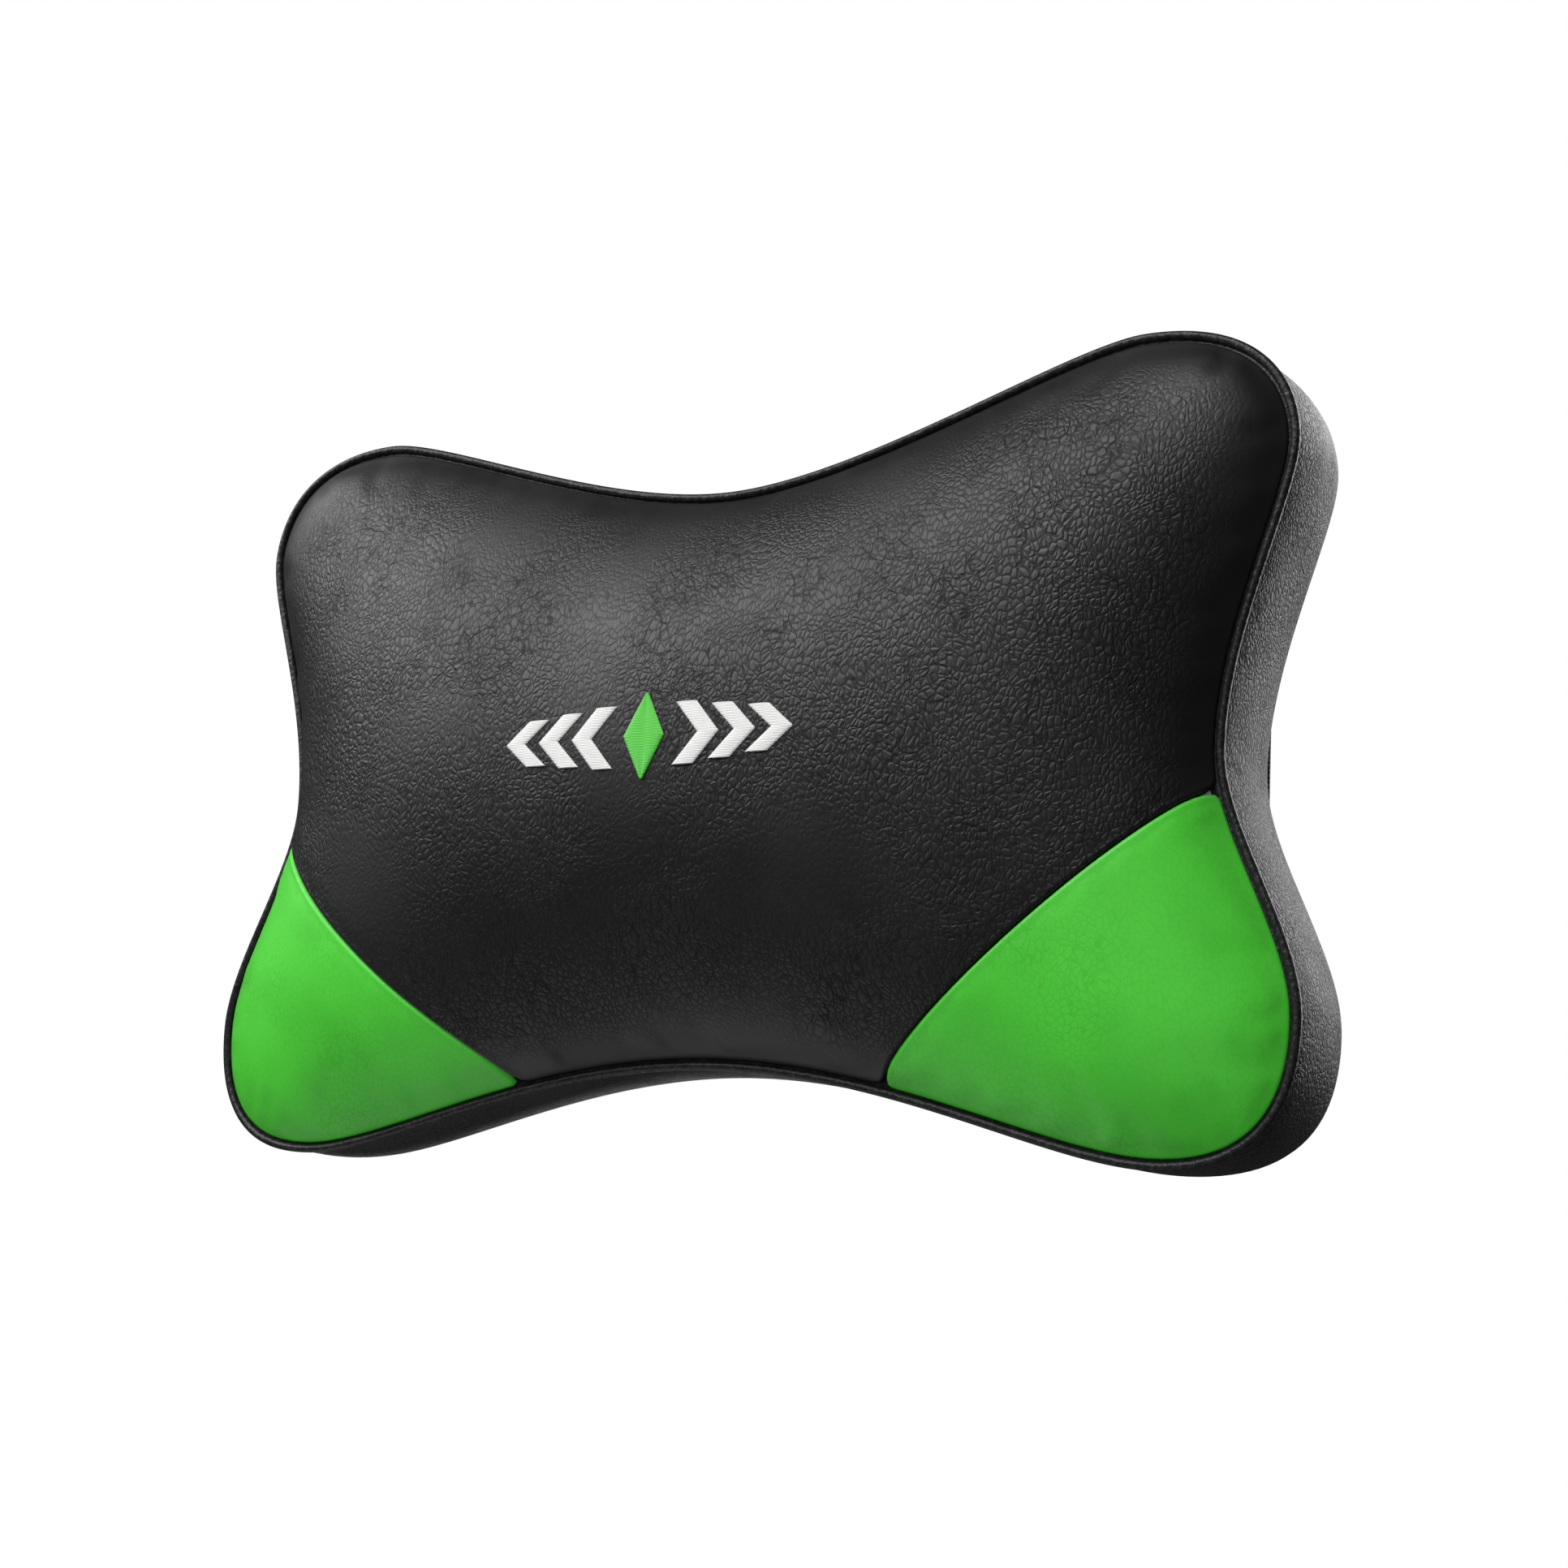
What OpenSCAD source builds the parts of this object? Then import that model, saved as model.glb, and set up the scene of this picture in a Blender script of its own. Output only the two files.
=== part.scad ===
// Butterfly-shaped chair headrest cushion: a foam block in a piped leather cover with a zip,
// held to a backrest by an elastic strap with a side-release buckle.
// X runs across the cushion, Y points backwards, Z points up. The origin lies on the back face,
// level with the cover's middle.

/* [Outline] */
// Height of the dip at the middle of the top edge
top_dip_z = 79; // [76:1:82]
// Half the distance between the tops of the upper lobes
upper_lobe_top_x = 118; // [115:1:121]
// Height of the tops of the upper lobes
upper_lobe_top_z = 106; // [103:1:109]
// Half the width across the upper lobes
upper_lobe_side_x = 157; // [155:1:159]
// Height of the widest place of the upper lobes
upper_lobe_side_z = 76; // [73:1:78]
// Half the width at the waist
waist_x = 140; // [138:1:143]
// Height of the narrowest place of the waist
waist_z = 2; // [0:1:4]
// Half the width across the lower lobes
lower_lobe_side_x = 160; // [158:1:163]
// Height of the widest place of the lower lobes
lower_lobe_side_z = -61; // [-63:1:-59]
// Half the distance between the lowest places of the lower lobes
lower_lobe_low_x = 127; // [125:1:130]
// Height of the lowest places of the lower lobes
lower_lobe_low_z = -95; // [-98:1:-92]
// Height of the rise at the middle of the bottom edge
bottom_rise_z = -72; // [-74:1:-70]

/* [Cover] */
// Depth of the gusset, from the front seam to the back face
gusset_depth = 35; // [32:1:40]
// How far the front stands proud of its seam
front_crown = 32; // [26:1:36]
// Thickness of the leather
leather_t = 1.2; // [0.8:0.1:1.4]
// Diameter of the piping bead in the front seam
piping_d = 2.5; // [2:0.1:3]
// Where the corner panel's seam meets the side, along the stretch below the waist
seam_side_t = 0.155; // [0.1:0.005:0.25]
// Where the corner panel's seam meets the bottom edge, along the stretch to its middle
seam_low_t = 0.65; // [0.55:0.01:0.75]
// How far the corner panel's seam bows towards the middle; below 0 it bows to the corner
seam_bow = -1; // [-4:0.5:12]

/* [Zip] */
// Length of the row of teeth
zip_len = 176; // [150:2:190]
// Height of the zip on the back
zip_z = -42; // [-44:1:-38]
// Distance between two teeth of one row
tooth_pitch = 2.4; // [2.2:0.1:3]

/* [Strap] */
// Width of the elastic
strap_w = 25; // [20:1:25]
// Thickness of the elastic
strap_t = 1.6; // [1.2:0.1:1.8]
// Clear distance between the back face and the strap
strap_gap = 9.4; // [9:0.1:12]

/* [Emblem] */
// Height of the emblem's middle
emblem_z = 7; // [0:1:20]
// Height of the chevrons
emblem_h = 16; // [12:1:20]

/* [Hidden] */

leather_black = "#1c1c1e";
leather_green = "#3fae35";
thread_white = "#f2f2f2";
plastic_black = "#151515";
metal_grey = "#3a3a3c";

// Half the outline runs clockwise from the top dip to the bottom rise: [x, z, direction x, direction z]
KNOTS = [
    [0, top_dip_z, 1, 0],
    [upper_lobe_top_x, upper_lobe_top_z, 1, 0],
    [upper_lobe_side_x, upper_lobe_side_z, 0, -1],
    [waist_x, waist_z, 0, -1],
    [lower_lobe_side_x, lower_lobe_side_z, 0, -1],
    [lower_lobe_low_x, lower_lobe_low_z, -1, 0],
    [0, bottom_rise_z, -1, 0]
];
// Lengths of the two Bezier handles of each stretch between knots
HANDLES = [[41, 20], [38, 4], [14, 29], [19, 19], [32, 11], [27, 56]];
stretch_steps = 8;
side_stretch = 3;
low_stretch = 5;
side_steps = 2;
low_steps = 5;

function bezier(a, b, c, d, t) =
    pow(1 - t, 3) * a + 3 * pow(1 - t, 2) * t * b + 3 * (1 - t) * t * t * c + pow(t, 3) * d;
function knot(i) = [KNOTS[i][0], KNOTS[i][1]];
function heading(i) = [KNOTS[i][2], KNOTS[i][3]];
function on_stretch(i, t) =
    bezier(knot(i), knot(i) + heading(i) * HANDLES[i][0],
           knot(i + 1) - heading(i + 1) * HANDLES[i][1], knot(i + 1), t);
// Steps along a stretch, with one of them falling on the seam's end where the stretch has one
function seam_steps(at, before) =
    [for (k = [0:stretch_steps - 1])
        k < before ? at * k / before : at + (1 - at) * (k - before) / (stretch_steps - before)];
function steps(i) =
    i == side_stretch ? seam_steps(seam_side_t, side_steps)
    : i == low_stretch ? seam_steps(seam_low_t, low_steps)
    : [for (k = [0:stretch_steps - 1]) k / stretch_steps];

HALF = concat([for (i = [0:5]) for (t = steps(i)) on_stretch(i, t)], [knot(6)]);
half_n = len(HALF);
OUTLINE = concat(HALF, [for (k = [half_n - 2:-1:1]) [-HALF[k].x, HALF[k].y]]);
n_out = len(OUTLINE);
side_index = side_stretch * stretch_steps + side_steps;
low_index = low_stretch * stretch_steps + low_steps;

// The outline moved inwards by a distance, point by point along its normals
function unit(v) = v / norm(v);
function outward(i) =
    let (t = unit(OUTLINE[(i + 1) % n_out] - OUTLINE[(i + n_out - 1) % n_out])) [-t.y, t.x];
OUTWARD = [for (i = [0:n_out - 1]) outward(i)];
function ring(inset) = [for (i = [0:n_out - 1]) OUTLINE[i] - inset * OUTWARD[i]];

// Insets and depths of the nested layers
seam_gap = 0.15;
cover_inset = piping_d / 2 + 0.1;
lining_inset = cover_inset + leather_t;
liner_t = 0.6;
liner_play = 0.9;
liner_inset = lining_inset + liner_play;
foam_play = 0.15;
foam_inset = liner_inset + liner_t + foam_play;
seam_y = -gusset_depth;
cover_y = seam_y - seam_gap;
liner_back_y = -3.6;
foam_back_y = liner_back_y - liner_t - foam_play;

// The crown is a flat-topped dome over a rim: full height in the middle, steep at the seam
dome_power = 4.5;
dome_root = 0.7;
liner_top = front_crown - leather_t - 2 * liner_play;
function cross2(a, b) = a.x * b.y - a.y * b.x;
// Distance from the middle to the rim in the direction of point p
function rim_distance(p, rim) =
    let (d = unit(p))
    max([for (i = [0:n_out - 1])
        let (a = rim[i], e = rim[(i + 1) % n_out] - a, den = cross2(d, e))
        abs(den) < 1e-9 ? 0
        : let (t = cross2(a, e) / den, u = cross2(a, d) / den)
          (t > 0 && u > -1e-6 && u < 1 + 1e-6) ? t : 0]);
function dome(p, rim, top) =
    norm(p) < 0.01 ? top
    : let (s = min(1, norm(p) / rim_distance(p, rim)))
      top * pow(max(0, 1 - pow(s, dome_power)), dome_root);

// The seam of the right corner panel over one rim, from the side to the bottom edge
seam_n = low_index - side_index;
function seam_curve(rim) =
    let (a = rim[side_index], b = rim[low_index], d = unit(b - a),
         c = (a + b) / 2 + 2 * seam_bow * [d.y, -d.x] * sign(cross2(d, -a)) * -1)
    [for (k = [0:seam_n]) let (t = k / seam_n) pow(1 - t, 2) * a + 2 * (1 - t) * t * c + t * t * b];
function flip_x(points) = [for (k = [len(points) - 1:-1:0]) [-points[k].x, points[k].y]];
function front_loop(rim) =
    let (seam = seam_curve(rim),
         right = concat([for (i = [0:side_index]) rim[i]],
                        [for (k = [1:seam_n - 1]) seam[k]],
                        [for (i = [low_index:half_n - 1]) rim[i]]),
         left = flip_x([for (k = [1:len(right) - 2]) right[k]]))
    concat(right, left);
function corner_loop(rim) =
    let (seam = seam_curve(rim))
    concat([for (i = [side_index:low_index]) rim[i]], [for (k = [seam_n - 1:-1:1]) seam[k]]);
corner_middle = [118, -58];

// Points of a domed skin: its middle, then rings out to the loop, then a straight skirt if asked for
LEVELS = [0.35, 0.6, 0.78, 0.9, 0.965, 1];
function skin_points(loop, middle, rim, top, base_y, skirt_y) =
    concat(
        [[middle.x, base_y - dome(middle, rim, top), middle.y]],
        [for (v = LEVELS) for (p = loop)
            let (q = middle + (p - middle) * v) [q.x, base_y - dome(q, rim, top), q.y]],
        skirt_y == undef ? [] : [for (p = loop) [p.x, skirt_y, p.y]]);
function disc_faces(n, rings, start) =
    concat(
        [for (i = [0:n - 1]) [start, start + 1 + i, start + 1 + (i + 1) % n]],
        [for (r = [0:rings - 2]) for (i = [0:n - 1])
            let (a = start + 1 + r * n + i, b = start + 1 + r * n + (i + 1) % n)
            each [[a, a + n, b], [b, a + n, b + n]]]);
function turned(faces) = [for (f = faces) [f[2], f[1], f[0]]];

// A sheet with a front skin and a back skin that have the same loop length, closed round the rim
module sheet(front, back, n, rings) {
    count = 1 + n * rings;
    rim_a = 1 + (rings - 1) * n;
    edge = [for (i = [0:n - 1])
        let (a = rim_a + i, b = rim_a + (i + 1) % n)
        each [[a, a + count, b], [b, a + count, b + count]]];
    polyhedron(concat(front, back),
               concat(disc_faces(n, rings, 0), turned(disc_faces(n, rings, count)), edge));
}

// A flat shape in the X-Z plane made solid from y0 to y1
module slab(y0, y1) {
    translate([0, y1, 0]) rotate([90, 0, 0]) linear_extrude(y1 - y0) children();
}

module cover_panel(loop_outer, loop_inner, middle) {
    outer = ring(cover_inset);
    inner = ring(lining_inset);
    front = skin_points(loop_outer, middle, outer, front_crown, cover_y);
    back = skin_points(loop_inner, middle, inner, front_crown - leather_t, cover_y);
    sheet(front, back, len(loop_outer), len(LEVELS));
}

module foam_core() {
    rim = ring(foam_inset);
    rings = len(LEVELS) + 1;
    top = liner_top - liner_t - foam_play;
    front = skin_points(rim, [0, 0], rim, top, cover_y, foam_back_y);
    middle = len(front);
    rim_a = 1 + (rings - 1) * n_out;
    base = [for (i = [0:n_out - 1]) [rim_a + i, middle, rim_a + (i + 1) % n_out]];
    color("#e8e2cf")
        polyhedron(concat(front, [[0, foam_back_y, 0]]), concat(disc_faces(n_out, rings, 0), base));
}

module liner_front() {
    outer = ring(liner_inset);
    inner = ring(liner_inset + liner_t);
    skirt_y = liner_back_y - liner_t;
    front = skin_points(outer, [0, 0], outer, liner_top, cover_y, skirt_y);
    back = skin_points(inner, [0, 0], inner, liner_top - liner_t, cover_y, skirt_y);
    color("white") sheet(front, back, n_out, len(LEVELS) + 1);
}

module liner_back() {
    color("white") slab(liner_back_y - liner_t, liner_back_y) polygon(ring(liner_inset));
}

module front_panel() {
    color(leather_black)
        cover_panel(front_loop(ring(cover_inset)), front_loop(ring(lining_inset)), [0, 0]);
}

module corner_panel_right() {
    color(leather_green)
        cover_panel(corner_loop(ring(cover_inset)), corner_loop(ring(lining_inset)), corner_middle);
}

module corner_panel_left() {
    color(leather_green) mirror([1, 0, 0])
        cover_panel(corner_loop(ring(cover_inset)), corner_loop(ring(lining_inset)), corner_middle);
}

// A round bead with a flat tail that is caught between the front panel and the gusset
module front_piping() {
    bead_sides = 9;
    tail_t = 0.26;
    tail_angle = 5;
    section = concat(
        [for (k = [0:bead_sides - 1])
            let (a = tail_angle + (360 - 2 * tail_angle) * k / (bead_sides - 1))
            piping_d / 2 * [cos(a), sin(a)]],
        [[lining_inset, -tail_t / 2], [lining_inset, tail_t / 2]]);
    m = len(section);
    points = [for (i = [0:n_out - 1]) for (q = section)
        let (p = OUTLINE[i] - q.x * OUTWARD[i]) [p.x, seam_y + q.y, p.y]];
    faces = [for (i = [0:n_out - 1]) for (k = [0:m - 1])
        let (a = i * m + k, b = i * m + (k + 1) % m,
             c = ((i + 1) % n_out) * m + k, d = ((i + 1) % n_out) * m + (k + 1) % m)
        each [[a, c, b], [b, c, d]]];
    color(leather_black) polyhedron(points, faces);
}

module gusset() {
    color(leather_black) slab(seam_y + seam_gap, -leather_t) difference() {
        polygon(ring(cover_inset));
        polygon(ring(lining_inset));
    }
}

zip_slot_half = zip_len / 2 + 10;
zip_slot_rise = 6;
panel_reach = 200;

module back_panel_upper() {
    color(leather_black) slab(-leather_t, 0) difference() {
        polygon(ring(cover_inset));
        translate([-panel_reach, zip_z - panel_reach]) square([2 * panel_reach, panel_reach]);
        translate([-zip_slot_half, zip_z - 1]) square([2 * zip_slot_half, zip_slot_rise + 1]);
    }
}

module back_panel_lower() {
    color(leather_black) slab(-leather_t, 0) difference() {
        polygon(ring(cover_inset));
        translate([-panel_reach, zip_z]) square([2 * panel_reach, panel_reach]);
        translate([-zip_slot_half, zip_z - zip_slot_rise]) square([2 * zip_slot_half, zip_slot_rise + 1]);
    }
}

tape_t = 0.6;
tape_w = 13;
tape_gap = 0.3;
tape_open = 1.2;
tape_half = zip_slot_half + 3;
teeth_end = zip_len / 2 - 5;
// Half of the tape pair, above the line of teeth; it parts where the slider's wedge stands
module zip_tape() {
    slab(-leather_t - tape_t, -leather_t) polygon([
        [-tape_half, tape_gap], [teeth_end + 1, tape_gap], [teeth_end + 3, tape_open],
        [tape_half, tape_open], [tape_half, tape_w], [-tape_half, tape_w]
    ]);
}

tooth_w = 1;
spine_low = 0.9;
spine_high = 2.4;
tooth_reach = -0.7;
teeth_top_y = 0.4;
module zip_teeth(shift) {
    start = -zip_len / 2 + shift;
    count = floor((teeth_end - start) / tooth_pitch);
    comb = [for (k = [0:count - 1])
        let (x = start + k * tooth_pitch)
        each [[x, spine_low], [x, tooth_reach], [x + tooth_w, tooth_reach], [x + tooth_w, spine_low]]];
    slab(-leather_t, teeth_top_y) polygon(concat(
        comb, [[teeth_end, spine_low], [teeth_end, spine_high],
               [-zip_len / 2 - 1, spine_high], [-zip_len / 2 - 1, spine_low]]));
}

module zip_tape_upper() {
    color("#202022") translate([0, 0, zip_z]) zip_tape();
}

module zip_tape_lower() {
    color("#202022") translate([0, 0, zip_z]) mirror([0, 0, 1]) zip_tape();
}

module zip_teeth_upper() {
    color(plastic_black) translate([0, 0, zip_z]) zip_teeth(0);
}

module zip_teeth_lower() {
    color(plastic_black) translate([0, 0, zip_z]) mirror([0, 0, 1]) zip_teeth(tooth_pitch / 2);
}

// The slider parks just past the last tooth, against the two top stops
slider_l = 11;
slider_w = 9;
plate_t = 1.1;
slider_x = teeth_end + 0.5 + slider_l / 2;
slider_top_y = teeth_top_y + 0.3;
slider_low_y = -leather_t - tape_t - 0.3;
pin_r = 0.6;
pin_fit = 0.06;
pin_y = slider_top_y + plate_t + pin_r + 0.1;
bridge_w = 2.4;
bridge_half = 3.2;

module zip_end_stops() {
    stop_x = slider_x + slider_l / 2 + 0.4;
    color(metal_grey) {
        for (side = [-1, 1])
            translate([stop_x, -leather_t, zip_z + side * 2.2 - 0.9]) cube([2, 1.7, 1.8]);
        translate([-zip_len / 2 - 4, -leather_t, zip_z - 2.6]) cube([2.4, 1.7, 5.2]);
    }
}

module slider_plate(y0) {
    slab(y0, y0 + plate_t) polygon([
        [-slider_l / 2, -slider_w / 2 + 1.4], [-slider_l / 2 + 1, -slider_w / 2 + 0.8],
        [slider_l / 2 - 2, -slider_w / 2], [slider_l / 2, -slider_w / 2 + 1.6],
        [slider_l / 2, slider_w / 2 - 1.6], [slider_l / 2 - 2, slider_w / 2],
        [-slider_l / 2 + 1, slider_w / 2 - 0.8], [-slider_l / 2, slider_w / 2 - 1.4]
    ]);
}

module zip_slider() {
    flange_t = 0.8;
    wedge_x = 2.6;
    color(metal_grey) translate([slider_x, 0, zip_z]) {
        slider_plate(slider_top_y);
        slider_plate(slider_low_y - plate_t);
        for (side = [-1, 1])
            translate([-slider_l / 2 + 1.5, -leather_t + 0.3, side * (slider_w / 2 - 1.2) - flange_t / 2])
                cube([slider_l - 4, slider_top_y + leather_t, flange_t]);
        translate([wedge_x, slider_low_y - 0.2, -0.8]) cube([2, slider_top_y - slider_low_y + 0.4, 1.6]);
        difference() {
            slab(slider_top_y + plate_t - 0.2, pin_y + 1.6) polygon([
                [-bridge_half, -bridge_w / 2], [bridge_half, -bridge_w / 2],
                [bridge_half, bridge_w / 2], [-bridge_half, bridge_w / 2]
            ]);
            translate([0, pin_y, -bridge_w]) cylinder(h = 2 * bridge_w, r = pin_r + pin_fit, $fn = 32);
        }
    }
}

pull_l = 26;
pull_w = 6.8;
pull_t = 1;
arm_l = 6.5;
module zip_pull() {
    arm_w = pull_w / 2 - bridge_w / 2 - 0.3;
    color(metal_grey) translate([slider_x, pin_y, zip_z]) {
        translate([0, 0, -pull_w / 2]) cylinder(h = pull_w, r = pin_r, $fn = 32);
        for (side = [-1, 1])
            translate([-arm_l - 0.5, -pull_t / 2, side * (pull_w - arm_w) / 2 - arm_w / 2])
                cube([arm_l + 0.5, pull_t, arm_w]);
        difference() {
            slab(-pull_t / 2, pull_t / 2) polygon([
                [-arm_l, -pull_w / 2], [-arm_l, pull_w / 2], [-pull_l + 2, pull_w / 2],
                [-pull_l, pull_w / 2 - 2], [-pull_l, -pull_w / 2 + 2], [-pull_l + 2, -pull_w / 2]
            ]);
            translate([-pull_l + 4, 1, 0]) rotate([90, 0, 0]) cylinder(h = 2, r = 1.5, $fn = 32);
        }
    }
}

// Strap and buckle: everything lies about one plane behind the back face
strap_z = waist_z;
anchor_x = waist_x - cover_inset - 0.3;
anchor_end_x = 118;
rise_end_x = 96;
bar_r = 1.9;
bar_gap = 0.1;
bar_y = strap_gap + strap_t + bar_gap + bar_r;
bend_r = bar_r + bar_gap;
over_y = bar_y + bend_r;
curve_steps = 10;
function ease(a, b, t) = a + (b - a) * (1 - cos(180 * t)) / 2;
// Inner face of the strap from the seam out to its straight run, as the right-hand strap has it
RISE = [for (k = [0:curve_steps])
    let (t = k / curve_steps) [anchor_end_x + (rise_end_x - anchor_end_x) * t, ease(0, strap_gap, t)]];
function bend(x, r, from, to) =
    [for (k = [0:curve_steps]) let (a = from + (to - from) * k / curve_steps)
        [x + r * cos(a), bar_y + r * sin(a)]];
module webbing(points) {
    translate([0, 0, strap_z - strap_w / 2]) linear_extrude(strap_w) polygon(points);
}

plug_bar_x = 20;
end_bar_x = 29;
tail_x = 90;
module strap_right() {
    inner_face = concat([[anchor_x, 0]], RISE);
    outer_face = [for (k = [curve_steps:-1:0]) RISE[k] + [0, strap_t]];
    color("#1a1a1c") webbing(concat(
        inner_face,
        bend(plug_bar_x, bend_r + strap_t, 270, 90),
        [[tail_x, over_y + strap_t], [tail_x, over_y]],
        bend(plug_bar_x, bend_r, 90, 270),
        outer_face, [[anchor_x, strap_t]]));
}

socket_bar_x = -32;
fold_start_x = 40;
fold_end_x = 52;
fold_tail_x = 64;
module strap_left() {
    inner_face = concat([[anchor_x, 0]], RISE);
    outer_face = [for (k = [curve_steps:-1:0]) RISE[k] + [0, strap_t]];
    fold_low = strap_gap + strap_t;
    fold_out = [for (k = [0:curve_steps]) let (t = k / curve_steps)
        [fold_start_x + (fold_end_x - fold_start_x) * t, ease(over_y, fold_low, t) + strap_t]];
    fold_in = [for (k = [curve_steps:-1:0]) let (t = k / curve_steps)
        [fold_start_x + (fold_end_x - fold_start_x) * t, ease(over_y, fold_low, t)]];
    color("#1a1a1c") mirror([1, 0, 0]) webbing(concat(
        inner_face,
        bend(-socket_bar_x, bend_r + strap_t, 270, 90),
        fold_out, [[fold_tail_x, fold_low + strap_t], [fold_tail_x, fold_low]],
        [[fold_end_x + 0.5, fold_low]],
        fold_in,
        bend(-socket_bar_x, bend_r, 90, 270),
        [[fold_end_x, fold_low - 0.02]],
        outer_face, [[anchor_x, strap_t]]));
}

// Box stitches that hold each strap end on the back, and a row across the folded end
thread_d = 0.5;
module thread(a, b, y) {
    run = norm(b - a);
    turn = atan2(b.y - a.y, b.x - a.x);
    translate([a.x, y, strap_z + a.y]) rotate([0, -turn, 0])
        translate([-thread_d / 2, 0, -thread_d / 2]) cube([run + thread_d, thread_d, thread_d]);
}
module anchor_stitches() {
    box_in = anchor_end_x + 4;
    box_out = anchor_x - 3;
    box_h = strap_w / 2 - 3;
    corners = [[box_in, -box_h], [box_out, -box_h], [box_out, box_h], [box_in, box_h]];
    color("#303033") {
        for (side = [0, 1]) mirror([side, 0, 0]) {
            for (k = [0:3]) thread(corners[k], corners[(k + 1) % 4], strap_t);
            thread(corners[0], corners[2], strap_t);
            thread(corners[1], corners[3], strap_t);
        }
        for (x = [-fold_end_x - 4, -fold_end_x - 8])
            thread([x, -box_h], [x, box_h], strap_gap + 2 * strap_t);
    }
}

buckle_half_w = 17;
buckle_half_t = 5;
rail_in = 14;
rail_half_t = 3.5;
socket_back_x = -27.8;
mouth_x = 6;
window_front_x = -5;
window_back_x = -16;
cavity_half_w = 13;
cavity_half_t = 2.8;
module at_buckle() {
    translate([0, bar_y, strap_z]) children();
}
module rails(x0, x1) {
    for (side = [-1, 1])
        translate([x0, -rail_half_t, side * (rail_in + buckle_half_w) / 2 - (buckle_half_w - rail_in) / 2])
            cube([x1 - x0, 2 * rail_half_t, buckle_half_w - rail_in]);
}
module cross_bar(x) {
    translate([x, 0, -buckle_half_w + 1]) cylinder(h = 2 * buckle_half_w - 2, r = bar_r, $fn = 48);
}

module buckle_socket() {
    corner = 3;
    color(plastic_black) at_buckle() {
        difference() {
            slab(-buckle_half_t, buckle_half_t) polygon([
                [socket_back_x, -buckle_half_w + corner], [socket_back_x + corner, -buckle_half_w],
                [mouth_x, -buckle_half_w], [mouth_x, buckle_half_w],
                [socket_back_x + corner, buckle_half_w], [socket_back_x, buckle_half_w - corner]
            ]);
            translate([socket_back_x + 4, -cavity_half_t, -cavity_half_w])
                cube([mouth_x - socket_back_x, 2 * cavity_half_t, 2 * cavity_half_w]);
            translate([window_back_x, -cavity_half_t - 0.6, -buckle_half_w - 1])
                cube([window_front_x - window_back_x, 2 * cavity_half_t + 1.2, 2 * buckle_half_w + 2]);
        }
        rails(socket_bar_x - bar_r, socket_back_x + corner);
        cross_bar(socket_bar_x);
    }
}

shoulder_x = mouth_x + 0.3;
module buckle_plug() {
    prong_half_w = 2.6;
    prong_half_t = 2.2;
    shoulder_l = 6;
    color(plastic_black) at_buckle() {
        slab(-buckle_half_t + 0.6, buckle_half_t - 0.6) polygon([
            [shoulder_x, -buckle_half_w], [shoulder_x + shoulder_l, -buckle_half_w],
            [shoulder_x + shoulder_l, buckle_half_w], [shoulder_x, buckle_half_w]
        ]);
        translate([window_back_x - 4, -prong_half_t, -prong_half_w])
            cube([shoulder_x - window_back_x + 5, 2 * prong_half_t, 2 * prong_half_w]);
        rails(shoulder_x + shoulder_l - 1, end_bar_x + bar_r);
        cross_bar(plug_bar_x);
        cross_bar(end_bar_x);
    }
}

// The two springy arms of the plug, with the pads that stand in the socket's side windows
module buckle_arms() {
    arm_half_t = 2.3;
    pad_front = window_front_x - 0.5;
    pad_back = window_back_x + 0.4;
    color(plastic_black) at_buckle()
        for (side = [0, 1]) mirror([0, 0, side]) slab(-arm_half_t, arm_half_t) polygon([
            [shoulder_x, 7.5], [shoulder_x, 11], [-3, 12.6], [pad_front, 12.7],
            [pad_front, 17.2], [-9, 17.4], [-13, 15.8], [pad_back, 12.4],
            [pad_back, 9.5], [-10, 8.8], [-4, 8.2]
        ]);
}

keeper_x = 64;
keeper_l = 8;
keeper_wall = 1.5;
module strap_keeper() {
    slack = 0.35;
    low = strap_gap - slack;
    high = over_y + strap_t + slack;
    half = strap_w / 2 + slack + 0.2;
    color(plastic_black) translate([keeper_x, 0, strap_z]) difference() {
        translate([0, low - keeper_wall, -half - keeper_wall])
            cube([keeper_l, high - low + 2 * keeper_wall, 2 * (half + keeper_wall)]);
        translate([-1, low, -half]) cube([keeper_l + 2, high - low, 2 * half]);
    }
}

// Embroidered marks are raised ribbons over the crown; a station is [left x, right x, z]
thread_rise = 0.7;
thread_root = 0.4;
module raised(stations) {
    rim = ring(cover_inset);
    n = len(stations);
    function on_crown(x, z, lift) = [x, cover_y - dome([x, z], rim, front_crown) - lift, z];
    points = [for (s = stations) each [
        on_crown(s[0], s[2], thread_rise), on_crown(s[1], s[2], thread_rise),
        on_crown(s[1], s[2], -thread_root), on_crown(s[0], s[2], -thread_root)]];
    walls = [for (i = [0:n - 2]) for (k = [0:3])
        let (a = i * 4 + k, b = i * 4 + (k + 1) % 4)
        each [[a, b, a + 4], [b, b + 4, a + 4]]];
    last = (n - 1) * 4;
    ends = [[0, 2, 1], [0, 3, 2], [last, last + 1, last + 2], [last, last + 2, last + 3]];
    polyhedron(points, concat(walls, ends));
}

chevron_w = 6;
chevron_lean = 7;
chevron_pitch = 10.5;
chevron_first = 9;
chevrons_a_side = 3;
module emblem_white() {
    half = emblem_h / 2;
    color(thread_white)
        for (side = [-1, 1]) for (k = [0:chevrons_a_side - 1]) {
            near = chevron_first + k * chevron_pitch;
            tall = half - k;
            raised([for (z = [tall, 0, -tall])
                let (x = near + chevron_lean * (1 - abs(z) / tall), a = side * x, b = side * (x + chevron_w))
                [min(a, b), max(a, b), emblem_z + z]]);
        }
}

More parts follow.
